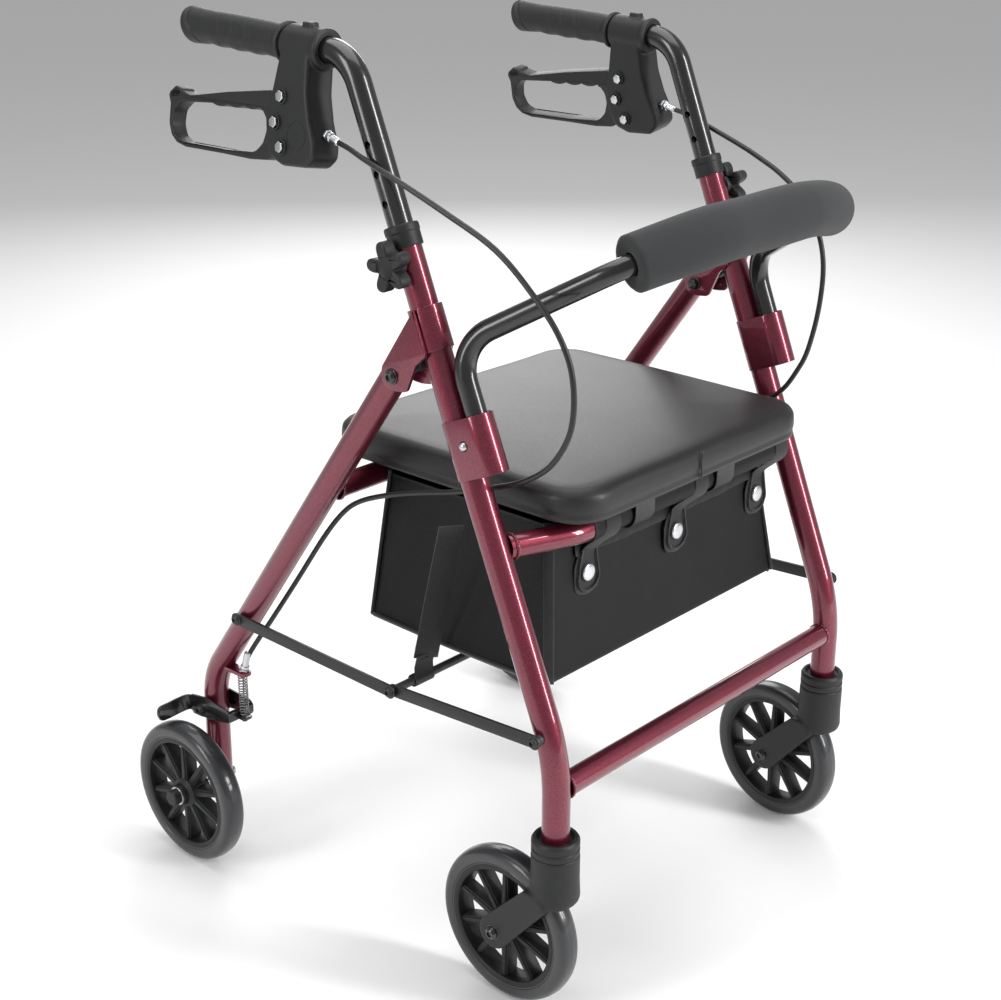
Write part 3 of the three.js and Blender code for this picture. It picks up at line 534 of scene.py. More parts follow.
@dataclass
class Effects:
    """The effects that several finishes share."""

    grain: Effect = field(default_factory=lambda: Effect(
        "fine_grain", {"Scale": "number"}, {"Height": "number"}))
    drift: Effect = field(default_factory=lambda: Effect(
        "colour_drift", {"Colour": "colour", "Amount": "number", "Scale": "number"}, {"Colour": "colour"}))
    rubbed: Effect = field(default_factory=lambda: Effect(
        "rubbed_edges", {"Colour": "colour", "Worn": "colour", "Amount": "number"},
        {"Colour": "colour", "Mask": "number"}))
    weave: Effect = field(default_factory=lambda: Effect(
        "cloth_weave", {"Threads": "number"}, {"Height": "number", "Shade": "number"}))
    flake: Effect = field(default_factory=lambda: Effect(
        "metal_flake", {"Colour": "colour", "Bright": "colour", "Scale": "number"}, {"Colour": "colour"}))

    def build(self) -> None:
        """Makes every group."""
        self._grain()
        self._drift()
        self._rubbed()
        self._weave()
        self._flake()

    @staticmethod
    def _noise(wiring: Wiring, scale: object, detail: float = 3.0,
               rough: float = 0.55) -> bpy.types.NodeSocket:
        """Noise on the piece's own coordinates."""
        place = wiring.node("ShaderNodeTexCoord")
        made = wiring.node("ShaderNodeTexNoise")
        wiring.link(place.outputs["Object"], made.inputs["Vector"])
        if isinstance(scale, bpy.types.NodeSocket):
            wiring.link(scale, made.inputs["Scale"])
        else:
            made.inputs["Scale"].default_value = scale
        made.inputs["Detail"].default_value = detail
        made.inputs["Roughness"].default_value = rough
        return made.outputs["Fac"]

    def _grain(self) -> None:
        """Fine moulded or leathery grain."""
        wiring, start, end = self.grain.begin()
        fine = self._noise(wiring, start.outputs["Scale"])
        place = wiring.node("ShaderNodeTexCoord")
        cells = wiring.node("ShaderNodeTexVoronoi", feature="F1")
        wiring.link(place.outputs["Object"], cells.inputs["Vector"])
        wiring.link(start.outputs["Scale"], cells.inputs["Scale"])
        wiring.link(wiring.maths("ADD", fine, cells.outputs["Distance"]), end.inputs["Height"])

    def _drift(self) -> None:
        """Slow change of brightness over a surface."""
        wiring, start, end = self.drift.begin()
        slow = self._noise(wiring, start.outputs["Scale"], 4.0, 0.6)
        swing = wiring.maths("MULTIPLY", wiring.maths("SUBTRACT", slow, 0.5), start.outputs["Amount"])
        bright = wiring.node("ShaderNodeHueSaturation")
        wiring.link(start.outputs["Colour"], bright.inputs["Color"])
        wiring.link(wiring.maths("ADD", swing, 1.0), bright.inputs["Value"])
        wiring.link(bright.outputs["Color"], end.inputs["Colour"])

    def _rubbed(self) -> None:
        """Wear along convex edges, broken up by noise."""
        wiring, start, end = self.rubbed.begin()
        shape = wiring.node("ShaderNodeNewGeometry")
        past = wiring.maths("SUBTRACT", shape.outputs["Pointiness"], 0.52)
        edge = wiring.maths("MULTIPLY", past, 9.0, True)
        patchy = wiring.maths("MULTIPLY", edge, self._noise(wiring, 240.0), True)
        mask = wiring.maths("MULTIPLY", patchy, start.outputs["Amount"], True)
        mixed = wiring.blend(mask, start.outputs["Colour"], start.outputs["Worn"])
        wiring.link(mixed, end.inputs["Colour"])
        wiring.link(mask, end.inputs["Mask"])

    def _weave(self) -> None:
        """Two crossing sets of threads."""
        wiring, start, end = self.weave.begin()
        place = wiring.node("ShaderNodeTexCoord")
        waves = []
        for direction in ("X", "Z"):
            wave = wiring.node("ShaderNodeTexWave", bands_direction=direction)
            wiring.link(place.outputs["Object"], wave.inputs["Vector"])
            wiring.link(start.outputs["Threads"], wave.inputs["Scale"])
            wave.inputs["Distortion"].default_value = 0.4
            waves.append(wave.outputs["Fac"])
        height = wiring.maths("MAXIMUM", waves[0], waves[1])
        wiring.link(height, end.inputs["Height"])
        wiring.link(wiring.maths("ADD", wiring.maths("MULTIPLY", height, 0.3), 0.7), end.inputs["Shade"])

    def _flake(self) -> None:
        """Bright metal flakes under a clear coat."""
        wiring, start, end = self.flake.begin()
        place = wiring.node("ShaderNodeTexCoord")
        cells = wiring.node("ShaderNodeTexVoronoi")
        wiring.link(place.outputs["Object"], cells.inputs["Vector"])
        wiring.link(start.outputs["Scale"], cells.inputs["Scale"])
        split = wiring.node("ShaderNodeSeparateColor")
        wiring.link(cells.outputs["Color"], split.inputs["Color"])
        share = wiring.maths("POWER", split.outputs[0], 2.5)
        mixed = wiring.blend(share, start.outputs["Colour"], start.outputs["Bright"])
        wiring.link(mixed, end.inputs["Colour"])


@dataclass(frozen=True)
class Finish:
    """A plain moulded or painted finish, and the base of the others."""

    name: str
    slot: str
    colour: Colour
    roughness: float
    metallic: float = 0.0
    coat: float = 0.0
    coat_roughness: float = 0.05
    sheen: float = 0.0
    specular: float = 0.5
    grain: float = 900.0
    depth: float = 0.00003
    drift: float = 0.25
    worn: Colour = (0.2, 0.2, 0.2)
    wear: float = 0.4

    def colour_of(self, wiring: Wiring, effects: Effects) -> bpy.types.NodeSocket:
        """The finish's colour, before the wear along its edges."""
        made = effects.drift.use(wiring, Colour=self.colour, Amount=self.drift, Scale=22.0)
        return made.outputs["Colour"]

    def height_of(self, wiring: Wiring, effects: Effects) -> bpy.types.NodeSocket:
        """The finish's fine relief."""
        return effects.grain.use(wiring, Scale=self.grain).outputs["Height"]

    def material(self, effects: Effects) -> bpy.types.Material:
        """Builds the material.

        Args:
            effects: The shared node groups.

        Returns:
            The finished material.
        """
        made = bpy.data.materials.new(self.name)
        made.use_nodes = True
        wiring = Wiring(made.node_tree)
        shader = made.node_tree.nodes["Principled BSDF"]
        for socket, value in (("Metallic", self.metallic), ("Coat Weight", self.coat),
                              ("Coat Roughness", self.coat_roughness), ("Sheen Weight", self.sheen),
                              ("Specular IOR Level", self.specular)):
            shader.inputs[socket].default_value = value
        edge = effects.rubbed.use(wiring, Colour=self.colour_of(wiring, effects), Worn=self.worn,
                                  Amount=self.wear)
        wiring.link(edge.outputs["Colour"], shader.inputs["Base Color"])
        relief = self.height_of(wiring, effects)
        spread = wiring.maths("MULTIPLY", wiring.maths("SUBTRACT", relief, 0.5), 0.12)
        wiring.link(wiring.maths("ADD", spread, self.roughness, True), shader.inputs["Roughness"])
        bump = wiring.node("ShaderNodeBump")
        bump.inputs["Strength"].default_value = 1.0
        bump.inputs["Distance"].default_value = self.depth
        wiring.link(relief, bump.inputs["Height"])
        wiring.link(bump.outputs["Normal"], shader.inputs["Normal"])
        return made


@dataclass(frozen=True)
class Enamel(Finish):
    """Metallic flake paint under a clear coat."""

    bright: Colour = (0.34, 0.03, 0.075)
    flakes: float = 3600.0

    def colour_of(self, wiring: Wiring, effects: Effects) -> bpy.types.NodeSocket:
        """Deep red with scattered brighter flakes."""
        base = super().colour_of(wiring, effects)
        return effects.flake.use(wiring, Colour=base, Bright=self.bright, Scale=self.flakes).outputs["Colour"]


@dataclass(frozen=True)
class Woven(Finish):
    """Woven cloth or webbing."""

    threads: float = 420.0

    def colour_of(self, wiring: Wiring, effects: Effects) -> bpy.types.NodeSocket:
        """Cloth, darker between its threads."""
        base = super().colour_of(wiring, effects)
        shade = effects.weave.use(wiring, Threads=self.threads).outputs["Shade"]
        return wiring.blend(1.0, base, shade, "MULTIPLY")

    def height_of(self, wiring: Wiring, effects: Effects) -> bpy.types.NodeSocket:
        """The relief of the threads."""
        return effects.weave.use(wiring, Threads=self.threads).outputs["Height"]


@dataclass(frozen=True)
class Palette:
    """Every finish on the walker."""

    red: Finish = Enamel("burgundy_flake_enamel", "red_enamel", (0.095, 0.003, 0.0125), 0.31, 0.7, 1.0, 0.03,
                         depth=0.000006, drift=0.3, worn=(0.25, 0.05, 0.08), wear=0.25)
    black: Finish = Finish("gloss_black_coat", "gloss_black", (0.004, 0.004, 0.005), 0.22, 0.0, 0.6, 0.06,
                           grain=45.0, depth=0.0, wear=0.1)
    satin: Finish = Finish("satin_black_coat", "gloss_black", (0.006, 0.006, 0.0065), 0.40, grain=1400.0,
                           depth=0.00002)
    moulded: Finish = Finish("moulded_dark_grey", "moulded_grey", (0.010, 0.0105, 0.0115), 0.45,
                             specular=0.42, grain=1600.0)
    wheel: Finish = Finish("wheel_dark_grey", "wheel_grey", (0.006, 0.0065, 0.007), 0.42,
                           specular=0.42, grain=1300.0)
    grip: Finish = Finish("grip_rubber_grey", "grip_rubber", (0.011, 0.0115, 0.0125), 0.5, specular=0.42,
                          grain=1500.0, depth=0.00004, wear=0.6)
    tyre: Finish = Finish("tyre_slate", "tyre_rubber", (0.014, 0.015, 0.0175), 0.34, coat=0.5,
                          coat_roughness=0.12, grain=260.0, depth=0.00006, worn=(0.05, 0.05, 0.055), wear=0.3)
    vinyl: Finish = Finish("seat_black_vinyl", "seat_vinyl", (0.006, 0.0064, 0.0068), 0.42, coat=0.12,
                           coat_roughness=0.25, specular=0.42, grain=1150.0, depth=0.00009, drift=0.35)
    foam: Finish = Finish("pad_foam", "foam", (0.019, 0.020, 0.0215), 0.78, sheen=0.06, grain=2100.0,
                          depth=0.00008, wear=0.2)
    cloth: Finish = Woven("bag_nylon", "bag_cloth", (0.0055, 0.0058, 0.0068), 0.5, specular=0.22,
                          depth=0.00006)
    tape: Finish = Woven("bag_binding", "bag_cloth", (0.004, 0.004, 0.0045), 0.7, sheen=0.15, depth=0.00014,
                         threads=260.0)
    webbing: Finish = Woven("strap_webbing", "webbing", (0.006, 0.006, 0.0065), 0.75, sheen=0.2, depth=0.0002,
                            threads=190.0)
    steel: Finish = Finish("bright_zinc", "zinc_steel", (0.60, 0.61, 0.63), 0.24, 1.0, grain=700.0,
                           depth=0.00001, wear=0.0)
    spring: Finish = Finish("dull_spring", "zinc_steel", (0.22, 0.22, 0.23), 0.34, 1.0, grain=700.0,
                            depth=0.00001, wear=0.0)
    cable: Finish = Finish("cable_black", "cable_cover", (0.008, 0.008, 0.009), 0.32, grain=900.0,
                           depth=0.00001, wear=0.0)


@dataclass
class Workshop:
    """Turns forms into named pieces with a finish and a body."""

    effects: Effects
    materials: dict[str, bpy.types.Material] = field(default_factory=dict)

    def material(self, finish: Finish) -> bpy.types.Material:
        """The material of a finish, made once."""
        if finish.name not in self.materials:
            self.materials[finish.name] = finish.material(self.effects)
        return self.materials[finish.name]

    def shape(self, name: str, form: Form, finish: Finish, sharp: float = 38.0) -> bpy.types.Object:
        """Makes the piece, not yet on a body.

        Args:
            name: The piece's name.
            form: Its shape.
            finish: Its finish.
            sharp: The angle in degrees from which an edge stays crisp.

        Returns:
            The new object.
        """
        mesh = bpy.data.meshes.new(name)
        spots = [((s.x) / 1000, (s.y - CENTRE_Y) / 1000, s.z / 1000) for s in form.spots]
        mesh.from_pydata(spots, [], form.faces)
        solid = bmesh.new()
        solid.from_mesh(mesh)
        bmesh.ops.remove_doubles(solid, verts=solid.verts, dist=2e-6)
        bmesh.ops.recalc_face_normals(solid, faces=solid.faces)
        solid.to_mesh(mesh)
        solid.free()
        mesh.shade_smooth()
        mesh.set_sharp_from_angle(angle=math.radians(sharp))
        piece = bpy.data.objects.new(name, mesh)
        bpy.context.scene.collection.objects.link(piece)
        mesh.materials.append(self.material(finish))
        return piece

    def piece(self, name: str, form: Form, finish: Finish, body: str, *nodes: str,
              sharp: float = 38.0) -> bpy.types.Object:
        """Makes a piece that rides on a body and stands for frame nodes."""
        made = self.shape(name, form, finish, sharp)
        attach(made, body)
        if nodes:
            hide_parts(*nodes)
        log.info("%s: %d faces on %s", name, len(made.data.polygons), body)
        return made

    def cut(self, piece: bpy.types.Object, cutter: Form) -> None:
        """Cuts a form out of a piece's mesh."""
        tool = self.shape(piece.name + "_cutter", cutter, PALETTE.satin)
        change = piece.modifiers.new("cut", "BOOLEAN")
        change.operation = "DIFFERENCE"
        change.solver = "MANIFOLD"
        change.object = tool
        bpy.context.view_layer.update()
        graph = bpy.context.evaluated_depsgraph_get()
        mesh = bpy.data.meshes.new_from_object(piece.evaluated_get(graph))
        piece.modifiers.remove(change)
        piece.data = mesh
        mesh.set_sharp_from_angle(angle=math.radians(38))
        bpy.data.objects.remove(tool)


PALETTE = Palette()


@dataclass
class Pairs:
    """Makes each right-hand form and its mirrored left-hand twin."""

    shop: Workshop

    def both(self, name: str, form: Form, finish: Finish, body: str, *nodes: str,
             sharp: float = 38.0, dropped: bool = False) -> list[bpy.types.Object]:
        """Makes a piece on each side.

        Args:
            name: The piece's name without its side.
            form: Its right-hand shape.
            finish: Its finish.
            body: The body's name, with {side} where the side's word goes.
            *nodes: The frame nodes it stands for, without their side.
            sharp: The angle in degrees from which an edge stays crisp.
            dropped: True where the left one stands a notch lower with its handle.

        Returns:
            The right piece and the left piece.
        """
        made = []
        for side in Side:
            own = form if side is Side.RIGHT else form.mirrored()
            if dropped and side is Side.LEFT:
                own = own.placed(Matrix.Translation(LEG_DOWN * NOTCH))
            names = [f"{side.word}_{node}" for node in nodes]
            made.append(self.shop.piece(f"{side.word}_{name}", own, finish, body.format(side=side.word),
                                        *names, sharp=sharp))
        return made


def button_head(form: Form, place: Matrix, radius: float, high: float) -> Form:
    """Adds a domed bolt head with a round socket, standing on the local XY plane."""
    profile = [(0, high - 1.5), (radius * 0.36, high - 1.5), (radius * 0.42, high - 0.1),
               (radius * 0.62, high), (radius * 0.84, high * 0.72), (radius, high * 0.3), (radius, 0), (0, 0)]
    return form.turned(profile, place, 28)


def washer(form: Form, place: Matrix, radius: float, bore: float, high: float) -> Form:
    """Adds a flat washer, standing on the local XY plane."""
    ring = rounded([(bore, 0), (radius, 0), (radius, high), (bore, high)], [0, 0, high * 0.45, 0], 3)
    return form.turned(ring, place, 36, looped=True)


def outward(x: float, y: float, z: float) -> Matrix:
    """Places a form so that its local Z runs away from the walker's middle, on the right."""
    return basis((0, 1, 0), (0, 0, 1), (-1, 0, 0), (x, y, z))


# ---------------------------------------------------------------- red frame


@dataclass
class FrontFrame(Pairs):
    """The two bent front legs, their collars, cross tube and seat rail."""

    foot_z: float = 176.6
    bend: float = 190.0
    cross: tuple[float, float, float] = (-177.2, 236.0, 11.1)
    rail: tuple[float, float, float] = (-133.0, 443.0, 11.0)

    def leg(self) -> Form:
        """A front leg, with the weld beads of the tubes that meet it."""
        bend_z = COLLAR_TOP[1] - (COLLAR_TOP[0] - STEM_Y) / LEAN
        corners = [on_leg(3.6), Vector((-LEG_X, STEM_Y, bend_z)), Vector((-LEG_X, STEM_Y, self.foot_z))]
        form = Form().tube(bent(corners, self.bend, 26), LEG_R, 11.5, 44)
        y, z, r = self.cross
        form.bead((-LEG_X + LEG_R - 0.6, y, z), (1, 0, 0), r, 1.5)
        return form

    def seat_rail(self) -> Form:
        """The rail under the seat's front edge, swept back to the legs."""
        y, z, r = self.rail
        reach = LEG_X - LEG_R + 2
        leg_y = COLLAR_TOP[0] - LEAN * (COLLAR_TOP[1] - z)
        corners = [Vector((-reach, leg_y - 4, z)), Vector((-140, y, z)), Vector((140, y, z)),
                   Vector((reach, leg_y - 4, z))]
        form = Form().tube(bent(corners, 90, 12), r, r - WALL)
        for sign in (-1, 1):
            form.bead((sign * (reach - 3.6), leg_y - 5.6, z), (sign, 0.22, 0), r, 1.5)
        return form

    def collar(self) -> Form:
        """The moulded collar in the leg's top, with its lip and split."""
        ring = rounded([(11.4, 0.4), (14.4, 0.4), (15.2, -1.2), (15.2, -6), (14.6, -7), (14.6, -19),
                        (12.75, -19), (12.75, -3.3), (11.4, -3.3)],
                       [0.3, 0.8, 0.6, 0.4, 0.4, 1.0, 0.3, 0.2, 0.2], 4)
        return Form().turned(ring, along_leg(), 44, looped=True)

    def cap(self) -> Form:
        """The moulded cap on the leg's foot, above the caster."""
        ring = rounded([(12.8, 187.6), (15.6, 187.6), (17.4, 190.2), (20.2, 190.2), (21.8, 187.6),
                        (21.8, 182.6), (20.9, 181.8), (20.9, 180.4), (21.8, 179.6), (21.6, 174.3),
                        (12.8, 174.3)],
                       [0.2, 0.4, 0.4, 0.8, 0.9, 0.4, 0.3, 0.3, 0.4, 0.4, 0.2], 4)
        place = Matrix.Translation((-LEG_X, STEM_Y, 0))
        form = Form().turned(ring, place, 48, looped=True)
        return form.turned([(0, 150), (5, 150), (5, 175), (11.3, 176), (11.3, 178), (0, 178)], place, 24)

    def build(self) -> None:
        """Makes the front frame."""
        self.both("front_leg_tube", self.leg(), PALETTE.red, "front_frame", "front_leg")
        self.both("leg_collar_ring", self.collar(), PALETTE.moulded, "front_frame", "leg_collar")
        self.both("caster_cap_ring", self.cap(), PALETTE.moulded, "front_frame", "caster_cap")
        y, z, r = self.cross
        reach = LEG_X - LEG_R + 1.5
        tube = Form().tube([Vector((-reach, y, z)), Vector((reach, y, z))], r, r - WALL, 40)
        self.shop.piece("front_cross_tube_red", tube, PALETTE.red, "front_frame", "front_cross_tube")
        self.shop.piece("seat_rail_red", self.seat_rail(), PALETTE.red, "front_frame", "seat_rail")


@dataclass
class FoldHinge(Pairs):
    """The folded brackets that carry the rear legs, with their bolts and bumpers."""

    half: float = 17.3
    cheek: float = 3.8
    top: float = 70.0
    bottom: float = 108.0

    def bracket(self) -> Form:
        """A sleeve round the front leg with two cheeks that reach back."""
        ring = rounded([(LEG_R + 0.15, -self.top), (15.4, -self.top), (15.4, -self.bottom),
                        (LEG_R + 0.15, -self.bottom)], [0.2, 0.7, 0.7, 0.2], 4)
        form = Form().turned(ring, along_leg(), 48, looped=True)
        upper, lower = on_leg(self.top, 4), on_leg(self.bottom + 2, 4)
        outline = rounded([(upper.y, upper.z), (lower.y, lower.z), (lower.y + 12, lower.z - 11), (-20, 569),
                           (-8, 567.5), (3, 568), (9.5, 575), (9.5, 586), (-29.5, 642.5)],
                          [2, 3, 4, 6, 8, 9, 8, 9, 6], 6)
        for side in (-1, 1):
            middle = side * (self.half - self.cheek / 2) - HINGE_X
            form.plate([outline, circle(3.3, 20, PIVOT)], middle - self.cheek / 2, middle + self.cheek / 2,
                       across((0, 0, 0)), 0.5)
        seam = on_leg(self.bottom + 1, -1, -LEG_X - 4)
        form.bead(seam, LEG_DOWN, 3.2, 1.3, 9)
        web = rounded([(-24, 628), (-27, 604), (-19, 600), (-17, 618)], 2)
        return form.plate([web], -HINGE_X - self.half + 1, -HINGE_X + self.half - 1, across((0, 0, 0)), 0.4)

    def bolt(self) -> Form:
        """The pivot bolt with its washer, domed head and nut."""
        near, far = -HINGE_X - self.half, -HINGE_X + self.half
        form = Form().tube([Vector((near, *PIVOT)), Vector((far, *PIVOT))], 3, sides=20)
        washer(form, outward(near - 0.1, *PIVOT), 7.2, 3, 1.1)
        button_head(form, outward(near - 1.2, *PIVOT), 5.9, 3.3)
        inner = across((far + 0.1, *PIVOT))
        washer(form, inner, 6.8, 3, 1.0)
        return form.plate([circle(5.6, 6)], 1.0, 5.6, inner, 0.5)

    def bumper(self) -> Form:
        """The rubber stop between the cheeks, behind the leg."""
        at = on_leg(112, -21, -HINGE_X - 9)
        profile = rounded([(0, 0), (8.2, 0), (8.2, 18), (0, 18)], [0, 1.6, 1.6, 0], 4)
        return Form().turned(profile, across(at), 32)

    def build(self) -> None:
        """Makes both hinges."""
        self.both("hinge_bracket_red", self.bracket(), PALETTE.red, "front_frame", "hinge_bracket")
        self.both("hinge_bolt_black", self.bolt(), PALETTE.black, "front_frame", "hinge_bolt")
        self.both("hinge_bumper", self.bumper(), PALETTE.grip, "front_frame")


@dataclass
class Backrest(Pairs):
    """The socketed backrest bar, its brackets, snap buttons and foam pad."""

    top: float = 168.0
    bottom: float = 220.0
    forward: float = 24.0
    radius: float = 14.0
    button: Pair = (191.0, 12.5)
    pad_y: float = -211.0
    pad_z: float = 706.0
    pad_half: float = 146.0
    pad_radius: float = 25.0

    def bracket(self) -> Form:
        """The flat-sided sleeve that wraps the leg and the backrest's foot."""
        outer = slot_outline((0, 0), (0, self.forward), self.radius, 16)
        inner = slot_outline((0, 0), (0, self.forward), self.radius - 1.2, 16)
        form = Form().plate([outer, inner], -self.bottom, -self.top, along_leg(), 0.35)
        form.plate([circle(self.radius - 1.3, 36, (0, self.forward)),
                    circle(BACK_R + 0.2, 36, (0, self.forward))], -self.bottom + 2, -self.top - 2,
                   along_leg(), 0.2)
        return form

    def snap(self) -> Form:
        """The domed locking button."""
        seat = on_leg(*self.button)
        dome = [(0, 3.3), (1.4, 3.2), (2.7, 2.6), (3.6, 1.5), (4.0, 0.2), (4.0, -1.9), (0, -1.9)]
        return Form().turned(dome, outward(-LEG_X - self.radius, seat.y, seat.z), 28)

    def route(self) -> list[Vector]:
        """The bar's middle line from the right socket round to the left one."""
        foot, elbow = on_leg(self.bottom - 6, self.forward), on_leg(108, self.forward)
        half = [foot, elbow, Vector((-152, -187, 691)), Vector((-62, self.pad_y, self.pad_z))]
        other = [Vector((-p.x, p.y, p.z)) for p in reversed(half)]
        return bent(half + other, [38, 52, 260, 260, 52, 38], 14)

    def pad(self) -> Form:
        """The curved foam sleeve, a little crowned, with softly rounded ends."""
        count, sides, rings = 150, 56, []
        for k in range(count + 1):
            x = self.pad_half * (2 * k / count - 1)
            sag = max(0.0, (abs(x) - 55) / 83) ** 1.5 * 21
            edge = (self.pad_half - abs(x)) / 2.6
            soft = math.sqrt(max(0.0, 1 - (1 - min(1.0, edge)) ** 2))
            crown = 0.25 * math.sin(x / 17) - 0.5 * (abs(x) / self.pad_half) ** 4
            r = self.pad_radius - 2.4 * (1 - soft) + crown
            rings.append((x, sag, r))
        form = Form()
        middle = [Vector((x, self.pad_y + sag, self.pad_z - 0.62 * sag)) for x, sag, r in rings]
        radii = [ring[2] for ring in rings]
        bore = BACK_R + 0.6
        walk = [middle[0]] * 3 + middle + [middle[-1]] * 3
        spread = [bore, bore + 4, radii[0] - 3, *radii, radii[-1] - 3, bore + 4, bore]
        loops: list[list[Vector]] = []
        for i, (here, r) in enumerate(zip(walk, spread)):
            k = min(max(i - 3, 0), count)
            ahead = (middle[min(k + 1, count)] - middle[max(k - 1, 0)]).normalized()
            up = Vector((0, 0, 1))
            up = (up - ahead * up.dot(ahead)).normalized()
            out = up.cross(ahead)
            lift = {0: 1.2, 1: 0.5, 2: 0.0}.get(min(i, len(walk) - 1 - i), 0.0)
            shift = ahead * (lift if i < 3 else -lift if i > len(walk) - 4 else 0)
            loops.append([here + shift + out * (r * math.cos(a)) + up * (r * math.sin(a))
                          for a in (TAU * j / sides for j in range(sides))])
        return form.skin(loops, looped=True)

    def build(self) -> None:
        """Makes the backrest."""
        for piece in self.both("backrest_bracket_red", self.bracket(), PALETTE.red, "front_frame",
                               "backrest_bracket"):
            sign = -1 if piece.name.startswith("right") else 1
            seat = on_leg(*self.button)
            wall = sign * (LEG_X + self.radius)
            hole = Form().turned([(0, -6), (4.7, -6), (4.7, 6), (0, 6)], across((wall, seat.y, seat.z)), 28)
            self.shop.cut(piece, hole)
        self.both("snap_button_dome", self.snap(), PALETTE.steel, "{side}_button", "snap_button")
        bar = Form().tube(self.route(), BACK_R, BACK_R - WALL, 36)
        self.shop.piece("backrest_bar_black", bar, PALETTE.black, "front_frame", "backrest_bar")
        pad = self.shop.piece("backrest_pad_foam", self.pad(), PALETTE.foam, "front_frame", "backrest_pad",
                              sharp=60)


@dataclass
class RearFrame(Pairs):
    """The rear legs, their cross tube, cable lugs and axles."""

    rail: tuple[float, float, float] = (101.0, 444.6, 11.0)
    foot_z: float = 62.0
    bend: float = 80.0
    lug: tuple[float, float, float, float] = (-224.0, 226.0, 211.0, 215.0)

    def leg(self) -> Form:
        """A rear leg, with its cable lug."""
        top = PIVOT[1] + 13 / math.hypot(REAR_LEAN, 1)
        knee = PIVOT[1] - (REAR_FOOT_Y - REAR_LINE_Y) / REAR_LEAN
        corners = [Vector((-rear_x(top), REAR_LINE_Y + REAR_LEAN * (PIVOT[1] - top), top)),
                   Vector((-223, REAR_FOOT_Y, knee)), Vector((-224, REAR_FOOT_Y, self.foot_z))]
        form = Form().tube(bent(corners, self.bend, 22), LEG_R, LEG_R - WALL, 44)
        x, front, low, high = self.lug
        tab = rounded([(front, -6.5), (front, 6.5), (266, 6.5), (266, -6.5)], [5.5, 5.5, 1, 1], 8)
        place = basis((0, 1, 0), (1, 0, 0), (0, 0, 1), (x, 0, 0))
        form.plate([tab, circle(2.4, 20, (232, 0))], low, high, place, 0.4)
        form.bead((x, 262, 213), (0, 1, 0.3), 5.2, 1.3, 14)
        y, z, r = self.rail
        form.bead((-rear_x(z) + LEG_R - 1, y, z), (1, 0, 0), r, 1.4)
        return form

    def axle(self) -> Form:
        """The steel axle with its bright washer."""
        inner = -224 + LEG_R + 0.3
        cap = -REAR_WHEEL_X - 17.6
        profile = [(0, inner + 2.4), (5.2, inner + 2.4), (5.5, inner + 2), (5.5, inner), (4, inner), (4, cap),
                   (0, cap)]
        form = Form().turned([(r, x) for r, x in profile], across((0, REAR_AXLE_Y, WHEEL_R)), 28)
        return washer(form, outward(cap + 0.2, REAR_AXLE_Y, WHEEL_R), 9.9, 4, 1.0)

    def axle_cap(self) -> Form:
        """The black cap on the end of the axle."""
        start = -REAR_WHEEL_X - 18.6
        profile = rounded([(0, 0), (8.2, 0), (8.6, 1.4), (7.9, 7.8), (0, 7.8)], [0, 0.4, 0.8, 1.8, 0], 5)
        return Form().turned(profile, outward(start, REAR_AXLE_Y, WHEEL_R), 36)

    def build(self) -> None:
        """Makes the rear frame."""
        self.both("rear_leg_tube", self.leg(), PALETTE.red, "rear_frame", "rear_leg")
        self.both("rear_axle_rod", self.axle(), PALETTE.steel, "rear_frame", "rear_axle")
        self.both("rear_axle_cap", self.axle_cap(), PALETTE.moulded, "rear_frame")
        y, z, r = self.rail
        reach = rear_x(z) - LEG_R + 1.5
        tube = Form().tube([Vector((-reach, y, z)), Vector((reach, y, z))], r, r - WALL, 40)
        self.shop.piece("rear_cross_tube_red", tube, PALETTE.red, "rear_frame", "rear_cross_tube")


# ---------------------------------------------------------------- seat, bag and strap


